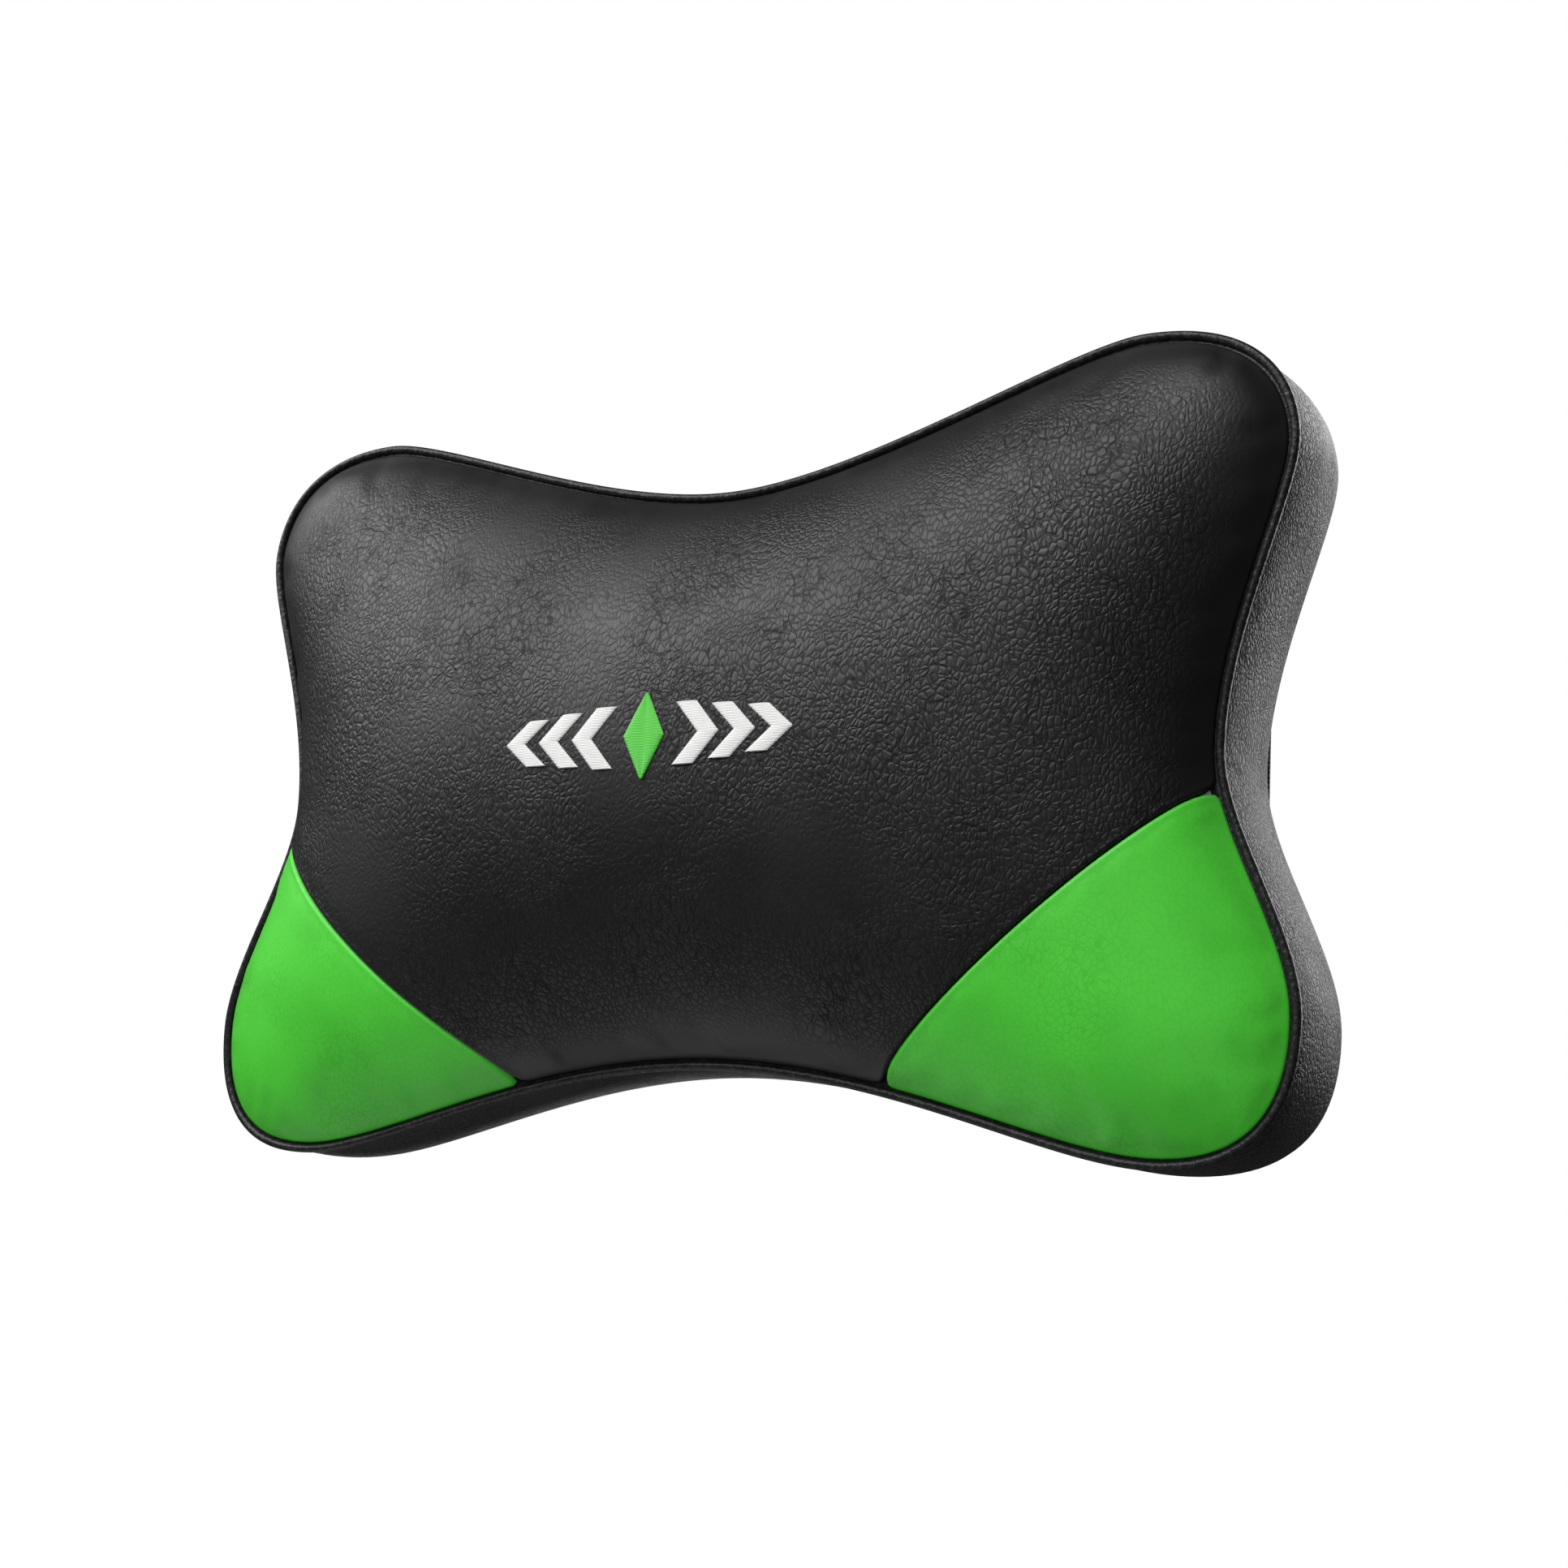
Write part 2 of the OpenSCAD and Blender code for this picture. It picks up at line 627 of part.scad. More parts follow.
diamond_half_w = 6;
diamond_half_h = 11;
module emblem_green() {
    tip = 0.4;
    color("#4fd040") raised([
        [-tip, tip, emblem_z + diamond_half_h],
        [-diamond_half_w, diamond_half_w, emblem_z],
        [-tip, tip, emblem_z - diamond_half_h]
    ]);
}

foam_core();
liner_front();
liner_back();
front_panel();
corner_panel_left();
corner_panel_right();
front_piping();
gusset();
back_panel_upper();
back_panel_lower();
zip_tape_upper();
zip_tape_lower();
zip_teeth_upper();
zip_teeth_lower();
zip_end_stops();
zip_slider();
zip_pull();
strap_left();
strap_right();
anchor_stitches();
buckle_socket();
buckle_plug();
buckle_arms();
strap_keeper();
emblem_white();
emblem_green();
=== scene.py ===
import math

import bmesh
import bpy
import numpy as np
from mathutils import Matrix, Vector
from mathutils.bvhtree import BVHTree
from mathutils.geometry import delaunay_2d_cdt


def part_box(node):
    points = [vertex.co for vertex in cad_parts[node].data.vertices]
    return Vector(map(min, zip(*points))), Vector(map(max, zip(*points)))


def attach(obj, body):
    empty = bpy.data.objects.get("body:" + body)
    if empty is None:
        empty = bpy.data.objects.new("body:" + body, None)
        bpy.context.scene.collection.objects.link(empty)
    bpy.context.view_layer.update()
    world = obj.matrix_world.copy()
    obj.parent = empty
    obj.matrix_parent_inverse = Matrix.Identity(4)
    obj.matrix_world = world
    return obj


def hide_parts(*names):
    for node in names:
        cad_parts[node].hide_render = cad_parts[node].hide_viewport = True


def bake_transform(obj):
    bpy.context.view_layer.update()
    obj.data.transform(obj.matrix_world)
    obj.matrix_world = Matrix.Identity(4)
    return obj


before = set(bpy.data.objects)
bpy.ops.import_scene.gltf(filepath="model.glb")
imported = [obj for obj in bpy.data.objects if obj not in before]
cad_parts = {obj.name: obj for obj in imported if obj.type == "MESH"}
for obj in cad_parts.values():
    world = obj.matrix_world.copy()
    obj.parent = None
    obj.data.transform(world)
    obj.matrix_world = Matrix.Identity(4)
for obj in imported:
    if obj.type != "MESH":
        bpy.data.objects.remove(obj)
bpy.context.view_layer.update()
MM = 0.001

# ---------------------------------------------------------------------------------------------
# THE CUTTING PATTERN. Half the cover's outline runs clockwise from the top dip to the bottom
# rise through seven knots, and the other half is its mirror image. The seam of a corner panel
# leaves the side just below the waist and runs to the bottom edge, bowed a little to the corner.
KNOTS = ((0, 79), (118, 106), (157, 76), (140, 2), (160, -61), (127, -95), (0, -72))
HEADINGS = ((1, 0), (1, 0), (0, -1), (0, -1), (0, -1), (-1, 0), (-1, 0))
HANDLES = ((41, 20), (38, 4), (14, 29), (19, 19), (32, 11), (27, 56))
SEAM_SIDE = 3.155
SEAM_LOW = 5.65
SEAM_BOW = -1 * MM
CLOTH_STEP = 4.2 * MM
SEAM_TUCK = 1.0 * MM
OUTLINE_FINE = 400
SEAM_FINE = 200
CLEAR_OF_LINES = 0.62
POINT_MERGE = 1e-7


def outline_at(place):
    """A point of the half outline; place counts knots from the top dip, 0 to 6."""
    i = min(int(place), 5)
    t = place - i
    a, d = Vector(KNOTS[i]), Vector(KNOTS[i + 1])
    b = a + Vector(HEADINGS[i]) * HANDLES[i][0]
    c = d - Vector(HEADINGS[i + 1]) * HANDLES[i][1]
    return ((1 - t) ** 3 * a + 3 * (1 - t) ** 2 * t * b + 3 * (1 - t) * t * t * c + t ** 3 * d) * MM


def even_steps(points, step):
    """Points about a step apart along a fine polyline, without its last one."""
    points = np.array(points)
    run = np.concatenate([[0], np.cumsum(np.linalg.norm(np.diff(points, axis=0), axis=1))])
    at = np.linspace(0, run[-1], max(2, round(run[-1] / step)), endpoint=False)
    return np.stack([np.interp(at, run, points[:, k]) for k in range(points.shape[1])], axis=1)


def outline_run(start, end, step):
    return even_steps([outline_at(p) for p in np.linspace(start, end, OUTLINE_FINE)], step)


def closed_outline(step):
    """The whole outline, and the places in it of the right-hand seam's two ends."""
    upper = outline_run(0, SEAM_SIDE, step)
    corner = outline_run(SEAM_SIDE, SEAM_LOW, step)
    lower = outline_run(SEAM_LOW, 6, step)
    right = np.concatenate([upper, corner, lower, [outline_at(6)]])
    left = right[-2:0:-1] * (-1, 1)
    return np.concatenate([right, left]), len(upper), len(upper) + len(corner)


def outward(loop):
    along = np.roll(loop, -1, 0) - np.roll(loop, 1, 0)
    along /= np.linalg.norm(along, axis=1)[:, None]
    return np.stack([-along[:, 1], along[:, 0]], axis=1)


def inset(loop, distance):
    return loop - outward(loop) * distance


def seam_line(a, b, step):
    """The bowed seam from the side to the bottom edge, with both its ends."""
    along = (b - a) / np.linalg.norm(b - a)
    middle = (a + b) / 2 + 2 * SEAM_BOW * np.array([along[1], -along[0]])
    t = np.linspace(0, 1, SEAM_FINE)[:, None]
    fine = (1 - t) ** 2 * a + 2 * (1 - t) * t * middle + t * t * b
    return np.concatenate([even_steps(fine, step), [b]])


def inside(points, loop):
    """Which points lie inside a closed loop."""
    a, b = loop, np.roll(loop, -1, 0)
    x, z = points[:, :1], points[:, 1:]
    crosses = (a[:, 1] > z) != (b[:, 1] > z)
    rise = np.where(b[:, 1] == a[:, 1], 1e-12, b[:, 1] - a[:, 1])
    at = a[:, 0] + (z - a[:, 1]) * (b[:, 0] - a[:, 0]) / rise
    return (crosses & (x < at)).sum(axis=1) % 2 == 1


def distance_to(points, line):
    """Distance from each point to a polyline."""
    a, ab = line[:-1], line[1:] - line[:-1]
    t = ((points[:, None] - a) * ab).sum(-1) / (ab ** 2).sum(-1)
    nearest = a + np.clip(t, 0, 1)[..., None] * ab
    return np.linalg.norm(points[:, None] - nearest, axis=-1).min(axis=1)


def closed(loop):
    return np.concatenate([loop, loop[:1]])


def flat_pattern(loop, lines, step):
    """Even triangles inside a loop, with edges along the given lines: flat points and triangles."""
    low, high = loop.min(0), loop.max(0)
    rows = np.arange(low[1], high[1], step * math.sqrt(0.75))
    lattice = np.array([(x + (k % 2) * step / 2, z)
                        for k, z in enumerate(rows) for x in np.arange(low[0], high[0], step)])
    lattice = lattice[inside(lattice, loop)]
    for line in [closed(loop), *lines]:
        lattice = lattice[distance_to(lattice, line) > CLEAR_OF_LINES * step]
    points = [*loop]
    edges = [(i, (i + 1) % len(loop)) for i in range(len(loop))]
    for line in lines:
        ends = [int(np.argmin(np.linalg.norm(loop - line[k], axis=1))) for k in (0, -1)]
        ids = [ends[0], *range(len(points), len(points) + len(line) - 2), ends[1]]
        points += [*line[1:-1]]
        edges += list(zip(ids[:-1], ids[1:]))
    points += [*lattice]
    out = delaunay_2d_cdt([Vector(p) for p in points], edges, [list(range(len(loop)))], 1,
                          POINT_MERGE)
    return np.array([tuple(v) for v in out[0]]), [list(f) for f in out[2]]


OUTLINE, SIDE_END, LOW_END = closed_outline(CLOTH_STEP)
RIM = inset(OUTLINE, SEAM_TUCK)
SEAM_RIGHT = seam_line(RIM[SIDE_END], RIM[LOW_END], CLOTH_STEP)
SEAM_LEFT = SEAM_RIGHT * (-1, 1)
pattern, pattern_faces = flat_pattern(RIM, [SEAM_RIGHT, SEAM_LEFT], CLOTH_STEP)

# ---------------------------------------------------------------------------------------------
# THE FILLED COVER. The sewn cover stands on its back face and the foam drives its front out into
# a crown that rises steeply from the seam and flattens towards the middle. A soap film over the
# pattern gives the crown, and a cloth simulation, held at the seams, pulls the leather tight.
FRONT_SEAM_Y = (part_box("front_piping")[0].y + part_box("front_piping")[1].y) / 2
BACK_SEAM_Y = -1.6 * MM
CROWN = 31 * MM
CROWN_POWER = 0.6
GUSSET_ROWS = 9
GUSSET_BULGE = 2.0 * MM
PRESSURE = 30
FRONT_GIVE = 3.5 * MM
GUSSET_GIVE = 1.8 * MM
SIM_FRAMES = 20


def soap_film(points, faces):
    """Height of a soap film blown up over the pattern, 1 at its highest place."""
    count = len(points)
    faces = np.array(faces)
    pull = np.zeros((count, count), np.float32)
    load = np.zeros(count)
    for k in range(3):
        i, j, o = faces[:, k], faces[:, (k + 1) % 3], faces[:, (k + 2) % 3]
        u, v = points[i] - points[o], points[j] - points[o]
        twice_area = np.abs(u[:, 0] * v[:, 1] - u[:, 1] * v[:, 0])
        cotangent = (u * v).sum(1) / twice_area / 2
        np.add.at(pull, (i, j), -cotangent)
        np.add.at(pull, (j, i), -cotangent)
        np.add.at(pull, (i, i), cotangent)
        np.add.at(pull, (j, j), cotangent)
        np.add.at(load, i, twice_area / 6)
    free = np.arange(len(RIM), count)
    film = np.zeros(count)
    film[free] = np.linalg.solve(pull[np.ix_(free, free)], load[free])
    return film / film.max()


def linked(name, data):
    """A new object with a mesh, light or camera in it, put in the scene."""
    piece = bpy.data.objects.new(name, data)
    bpy.context.scene.collection.objects.link(piece)
    return piece


def new_object(name, points, faces):
    mesh = bpy.data.meshes.new(name)
    mesh.from_pydata([tuple(map(float, p)) for p in points], [], [list(map(int, f)) for f in faces])
    mesh.update()
    return linked(name, mesh)


def points_of(piece):
    flat = np.empty(len(piece.data.vertices) * 3, np.float32)
    piece.data.vertices.foreach_get("co", flat)
    return flat.reshape(-1, 3).astype(float)


def pulled_tight(points, faces, held, give):
    """The points after the cover is blown up under pressure; none moves further than its give."""
    scene = bpy.context.scene
    work = new_object("work_cover", points, faces)
    pins = work.vertex_groups.new(name="sewn")
    pins.add([int(i) for i in np.flatnonzero(held)], 1, "REPLACE")
    cloth = work.modifiers.new("cloth", "CLOTH")
    cloth.point_cache.frame_start = 1
    cloth.point_cache.frame_end = SIM_FRAMES
    settings = cloth.settings
    settings.quality = 5
    settings.mass = 0.3
    settings.tension_stiffness = 5
    settings.compression_stiffness = 5
    settings.shear_stiffness = 2.5
    settings.bending_stiffness = 0.5
    settings.vertex_group_mass = pins.name
    settings.use_pressure = True
    settings.uniform_pressure_force = PRESSURE
    settings.effector_weights.gravity = 0
    for number in range(1, SIM_FRAMES + 1):
        scene.frame_set(number)
    ready = work.evaluated_get(bpy.context.evaluated_depsgraph_get())
    moved = points_of(ready)
    scene.frame_set(1)
    bpy.data.objects.remove(work)
    shift = moved - points
    length = np.linalg.norm(shift, axis=1)
    scale = give * np.tanh(length / give) / np.maximum(length, 1e-9)
    return points + shift * scale[:, None]


def loop_faces(a, b):
    """Quads between two loops of point numbers."""
    return [(a[i], a[(i + 1) % len(a)], b[(i + 1) % len(b)], b[i]) for i in range(len(a))]


crown = CROWN * soap_film(pattern, pattern_faces) ** CROWN_POWER
front_points = np.stack([pattern[:, 0], FRONT_SEAM_Y - crown, pattern[:, 1]], axis=1)
back_points = np.stack([pattern[:, 0], np.full(len(pattern), BACK_SEAM_Y), pattern[:, 1]], axis=1)
row_loops = []
for k in range(1, GUSSET_ROWS):
    t = k / GUSSET_ROWS
    loop = inset(OUTLINE, SEAM_TUCK - GUSSET_BULGE * 4 * t * (1 - t))
    y = FRONT_SEAM_Y + (BACK_SEAM_Y - FRONT_SEAM_Y) * t
    row_loops.append(np.stack([loop[:, 0], np.full(len(loop), y), loop[:, 1]], axis=1))
cover_points = np.concatenate([front_points, back_points, *row_loops])
rim_ids = [list(range(len(RIM)))]
row_start = 2 * len(pattern)
for k in range(GUSSET_ROWS - 1):
    rim_ids.append(list(range(row_start + k * len(RIM), row_start + (k + 1) * len(RIM))))
rim_ids.append(list(range(len(pattern), len(pattern) + len(RIM))))
back_faces = [[i + len(pattern) for i in reversed(f)] for f in pattern_faces]
gusset_faces = [f for a, b in zip(rim_ids[:-1], rim_ids[1:]) for f in loop_faces(a, b)]
cover_faces = pattern_faces + back_faces + gusset_faces
held = np.zeros(len(cover_points), bool)
held[:len(RIM)] = True
held[len(pattern):row_start] = True
give = np.full(len(cover_points), FRONT_GIVE)
give[row_start:] = GUSSET_GIVE
filled = pulled_tight(cover_points, cover_faces, held, give)
film_front = filled[:len(pattern)]

# ---------------------------------------------------------------------------------------------
# FOAM CORE. One block of cream moulded foam, cut to the cover's shape less the thickness of the
# leather and the liner. It is open-celled, with a few larger pores.
LEATHER_T = 1.2 * MM
LINER_T = 0.5 * MM
FOAM_PLAY = 2.2 * MM
FOAM_VOXEL = 4.5 * MM
FOAM_COLOUR = (0.83, 0.77, 0.6, 1)
SMOOTHING_PASSES = 3
PORE = 1.3 * MM
PORE_DEPTH = 0.3 * MM
PORE_WAVER = (300, 2 * MM)
BIG_PORE_FINENESS = 420
BIG_PORE_RANGE = (0.66, 0.72)
BIG_PORE_DEPTH = 0.6 * MM


def material_for(name, colour, roughness, **numbers):
    """A new material; what is the same all over is set on its shader's own sockets."""
    material = bpy.data.materials.new(name)
    material.use_nodes = True
    material.diffuse_color = colour
    shader = material.node_tree.nodes["Principled BSDF"]
    shader.inputs["Base Color"].default_value = colour
    shader.inputs["Roughness"].default_value = roughness
    for socket, value in numbers.items():
        shader.inputs[socket.replace("_", " ")].default_value = value
    return material


def node(material, kind, inputs, **choices):
    """Adds a shader node; an input is a number, a colour or another node's output."""
    made = material.node_tree.nodes.new(kind)
    for name, value in choices.items():
        setattr(made, name, value)
    for socket, value in inputs.items():
        if isinstance(value, bpy.types.NodeSocket):
            material.node_tree.links.new(value, made.inputs[socket])
        else:
            made.inputs[socket].default_value = value
    return made


def wire(material, output, socket):
    material.node_tree.links.new(output, material.node_tree.nodes["Principled BSDF"].inputs[socket])


def place_of(material):
    """A point's own place on the piece, in metres."""
    return node(material, "ShaderNodeTexCoord", {}).outputs["Object"]


def stretched(material, place, stretch):
    return node(material, "ShaderNodeMapping", {"Vector": place, "Scale": stretch}).outputs[0]


def maths(material, operation, a, b=0.0):
    return node(material, "ShaderNodeMath", {0: a, 1: b}, operation=operation).outputs[0]


def eased(material, value, low, high, to_low=0.0, to_high=1.0):
    """A value brought from one range to another with a smooth start and end."""
    return node(material, "ShaderNodeMapRange",
                {"Value": value, "From Min": low, "From Max": high, "To Min": to_low, "To Max": to_high},
                interpolation_type="SMOOTHSTEP").outputs[0]


def cloud(material, place, fineness, detail=2.0):
    return node(material, "ShaderNodeTexNoise",
                {"Vector": place, "Scale": fineness, "Detail": detail}).outputs["Fac"]


def wavering(material, place, fineness, reach):
    """A place shifted about a little, so that lines drawn on it waver."""
    drift = node(material, "ShaderNodeTexNoise",
                 {"Vector": place, "Scale": fineness, "Detail": 1.0}).outputs["Color"]
    centred = node(material, "ShaderNodeVectorMath", {0: drift, 1: (0.5, 0.5, 0.5)},
                   operation="SUBTRACT")
    scaled = node(material, "ShaderNodeVectorMath", {0: centred.outputs[0], "Scale": reach},
                  operation="SCALE")
    return node(material, "ShaderNodeVectorMath", {0: place, 1: scaled.outputs[0]},
                operation="ADD").outputs[0]


def grain_edges(material, place, size):
    """Distance from the lines between grains of a size, in grains."""
    return node(material, "ShaderNodeTexVoronoi", {"Vector": place, "Scale": 1 / size},
                feature="DISTANCE_TO_EDGE").outputs["Distance"]


def blended(material, share, a, b):
    mixed = node(material, "ShaderNodeMix", {"Factor": share}, data_type="RGBA")
    for socket, value in ((mixed.inputs[6], a), (mixed.inputs[7], b)):
        if isinstance(value, bpy.types.NodeSocket):
            material.node_tree.links.new(value, socket)
        else:
            socket.default_value = value
    return mixed.outputs[2]


def relief(material, heights):
    """Bumps laid one on another, from (height, depth in metres) pairs."""
    normal = None
    for height, depth in heights:
        inputs = {"Height": height, "Distance": depth, "Strength": 1.0}
        if normal is not None:
            inputs["Normal"] = normal
        normal = node(material, "ShaderNodeBump", inputs).outputs[0]
    wire(material, normal, "Normal")


def tone(colour, factor):
    return (*(c * factor for c in colour[:3]), 1)


def finished(piece, material, body, nodes):
    """Gives a piece its material, the nodes it stands for and any body it rides on."""
    piece.data.materials.clear()
    piece.data.materials.append(material)
    piece.data.shade_smooth()
    if body:
        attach(piece, body)
    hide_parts(*nodes)
    return piece


def cover_shape(name, depth):
    """The whole filled cover as one closed shape, remeshed and shrunk by a depth."""
    whole = new_object("work_whole", filled, cover_faces)
    remesh = whole.modifiers.new("remesh", "REMESH")
    remesh.mode = "VOXEL"
    remesh.voxel_size = FOAM_VOXEL
    ready = whole.evaluated_get(bpy.context.evaluated_depsgraph_get())
    mesh = bpy.data.meshes.new_from_object(ready)
    bpy.data.objects.remove(whole)
    shape = bmesh.new()
    shape.from_mesh(mesh)
    for _ in range(SMOOTHING_PASSES):
        bmesh.ops.smooth_vert(shape, verts=shape.verts, factor=0.5,
                              use_axis_x=True, use_axis_y=True, use_axis_z=True)
    shape.normal_update()
    for vert in shape.verts:
        vert.co -= vert.normal * depth
    shape.to_mesh(mesh)
    shape.free()
    mesh.name = name
    return linked(name, mesh)


foam_finish = material_for("moulded_foam", FOAM_COLOUR, 0.95)
spot = place_of(foam_finish)
pores = grain_edges(foam_finish, wavering(foam_finish, spot, *PORE_WAVER), PORE)
big_pores = eased(foam_finish, cloud(foam_finish, spot, BIG_PORE_FINENESS), *BIG_PORE_RANGE)
foam_tint = blended(foam_finish, cloud(foam_finish, spot, 14), FOAM_COLOUR, tone(FOAM_COLOUR, 0.86))
# Painted shade: the larger pores are darkened in colour to half the foam's tone, on the same mask that
# sinks them in the relief.
wire(foam_finish, blended(foam_finish, big_pores, foam_tint, tone(FOAM_COLOUR, 0.5)), "Base Color")
sunk_pores = maths(foam_finish, "MULTIPLY", big_pores, -1.0)
relief(foam_finish, [(pores, PORE_DEPTH), (sunk_pores, BIG_PORE_DEPTH)])

foam = cover_shape("foam_block", LEATHER_T + FOAM_PLAY)
finished(foam, foam_finish, "root", ["foam_core"])

# ---------------------------------------------------------------------------------------------
# LINER. A bag of thin white knitted cloth round the foam, in a front with a skirt and a flat
# back, so that the foam slides in and out of the leather cover.
LINER_COLOUR = (0.86, 0.86, 0.84, 1)
LINER_SPLIT_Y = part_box("liner_back")[0].y - 1 * MM
LINER_PLAY = 1.2 * MM
KNIT_PITCH = 2.88 * MM
KNIT_WAVER = 0.6
KNIT_DEPTH = 0.15 * MM
WAVE_RADIANS = 20
WAVER_FINENESS = 60.0
SAME_PLACE = 1e-6


def bands(material, place, period, direction, waver=0.0):
    """Waves along one axis of a place, 0 to 1, even or a little bent."""
    inputs = {"Vector": place, "Scale": math.tau / (WAVE_RADIANS * period),
              "Distortion": waver, "Detail Scale": WAVER_FINENESS}
    return node(material, "ShaderNodeTexWave", inputs, bands_direction=direction).outputs["Fac"]


knit_finish = material_for("knitted_liner", LINER_COLOUR, 0.9, Sheen_Weight=0.2)
spot = place_of(knit_finish)
wales = bands(knit_finish, spot, KNIT_PITCH, "X", KNIT_WAVER)
courses = bands(knit_finish, spot, KNIT_PITCH, "Z", KNIT_WAVER)
loops = maths(knit_finish, "MULTIPLY", wales, courses)
# Painted shade: the gaps between the knit loops are darkened in colour, on the same pattern as the
# relief.
wire(knit_finish, blended(knit_finish, loops, tone(LINER_COLOUR, 0.75), LINER_COLOUR), "Base Color")
relief(knit_finish, [(loops, KNIT_DEPTH)])

for name, node_name, clear_inner in (("liner_bag_front", "liner_front", False),
                                     ("liner_bag_back", "liner_back", True)):
    bag = cover_shape(name, LEATHER_T + LINER_PLAY)
    cut = bmesh.new()
    cut.from_mesh(bag.data)
    bmesh.ops.bisect_plane(cut, geom=[*cut.verts, *cut.edges, *cut.faces], dist=SAME_PLACE,
                           plane_co=(0, LINER_SPLIT_Y, 0), plane_no=(0, 1, 0),
                           clear_inner=clear_inner, clear_outer=not clear_inner)
    cut.to_mesh(bag.data)
    cut.free()
    wall = bag.modifiers.new("cloth", "SOLIDIFY")
    wall.thickness = LINER_T
    wall.offset = -1
    finished(bag, knit_finish, "root", [node_name])

# ---------------------------------------------------------------------------------------------
# FRONT PANEL AND CORNER PANELS. Synthetic leather: a black front, coarsely pebbled and creased
# where it was stretched, and two smoother green corners. Each edge turns down into its seam.
BLACK = (0.008, 0.008, 0.0083, 1)
GREEN = (0.062, 0.5, 0.034, 1)
EDGE_WIDTHS = (0.6 * MM, 1.3 * MM)
EDGE_DROPS = (1.35 * MM, 0.45 * MM)
SMOOTH_FAR = 15 * MM
SMOOTH_NEAR = 3 * MM
WANDER = (60, 8 * MM)
QUIVER = (420, 1 * MM)
CREASE_WANDER = (160, 4 * MM)
PEBBLE_STRETCH = (1.0, 1.0, 0.75)
CREASE_STRETCH = (1.0, 1.0, 0.45)
PEBBLE_SLOPE = 0.3
PEBBLE_GROOVE = 0.11
CREASE_GROOVE = 0.07
GROOVE_PAINTED_SHADE = 0.6
GROOVE_ROUGH = 0.2
SHEEN_LEVEL = 0.4
GROOVE_SHEEN = 0.06
GLOSS_SPREAD = 0.03
WORN_FROM, WORN_TO = 0.6, 0.86
LEAST_PLUMP = 0.35
BROKEN_RANGE = (0.43, 0.56)
TINT_FINENESS = 30
TINT_RANGE = (0.3, 0.7)
FINE_GRAIN = 2600
FINE_DEPTH = 0.01 * MM


def leather(name, colour, groove_shade_colour, roughness, pebble, pebble_depth, crease, crease_depth,
            patch, cover, smooth_y=None):
    """Synthetic leather: pebbles and longer creases, in patches; cover is how much they take up. The
    lines between pebbles and the creases are painted darker, as painted shade.
    Given the level of its seam, the leather is pulled smooth towards it."""
    made = material_for(name, colour, roughness, Specular_IOR_Level=SHEEN_LEVEL)
    spot = place_of(made)
    wavy = wavering(made, wavering(made, spot, *WANDER), *QUIVER)
    pebble_run = stretched(made, wavy, PEBBLE_STRETCH)
    pebble_edge = grain_edges(made, pebble_run, pebble)
    crease_run = stretched(made, wavering(made, wavy, *CREASE_WANDER), CREASE_STRETCH)
    crease_edge = grain_edges(made, crease_run, crease)
    worn = eased(made, cloud(made, spot, patch, 1.0), WORN_FROM - cover, WORN_TO - cover)
    plump = maths(made, "ADD", maths(made, "MULTIPLY", worn, 1 - LEAST_PLUMP), LEAST_PLUMP)
    broken = eased(made, cloud(made, spot, patch * 3, 1.0), *BROKEN_RANGE)
    if smooth_y is not None:
        level = node(made, "ShaderNodeSeparateXYZ", {0: spot}).outputs["Y"]
        slack = eased(made, level, smooth_y - SMOOTH_FAR, smooth_y - SMOOTH_NEAR, 1.0, 0.0)
        plump = maths(made, "MULTIPLY", plump, slack)
        worn = maths(made, "MULTIPLY", worn, slack)
    pebble_lift = maths(made, "MULTIPLY", eased(made, pebble_edge, 0.0, PEBBLE_SLOPE), plump)
    pebble_groove_shade = maths(made, "MULTIPLY", eased(made, pebble_edge, 0.0, PEBBLE_GROOVE, 1.0, 0.0), plump)
    crease_share = maths(made, "MULTIPLY", worn, broken)
    crease_line = eased(made, crease_edge, 0.0, CREASE_GROOVE, 1.0, 0.0)
    creased = maths(made, "MULTIPLY", crease_line, crease_share)
    # Painted shade: the lines between pebbles and the creases are darkened towards the groove colour; the
    # same mask lowers the shine and raises the roughness there.
    grooves_with_painted_shade = maths(made, "MULTIPLY", maths(made, "MAXIMUM", creased, pebble_groove_shade), GROOVE_PAINTED_SHADE)
    clouds = eased(made, cloud(made, spot, TINT_FINENESS), *TINT_RANGE)
    base = blended(made, clouds, tone(colour, 0.9), tone(colour, 1.08))
    wire(made, blended(made, grooves_with_painted_shade, base, groove_shade_colour), "Base Color")
    wire(made, eased(made, grooves_with_painted_shade, 0.0, 1.0, SHEEN_LEVEL, GROOVE_SHEEN), "Specular IOR Level")
    gloss = eased(made, clouds, 0.0, 1.0, roughness - GLOSS_SPREAD, roughness + GLOSS_SPREAD)
    wire(made, maths(made, "ADD", gloss, maths(made, "MULTIPLY", grooves_with_painted_shade, GROOVE_ROUGH)), "Roughness")
    fine = cloud(made, spot, FINE_GRAIN, 1.0)
    sunk = maths(made, "MULTIPLY", creased, -1.0)
    relief(made, [(fine, FINE_DEPTH), (pebble_lift, pebble_depth), (sunk, crease_depth)])
    return made


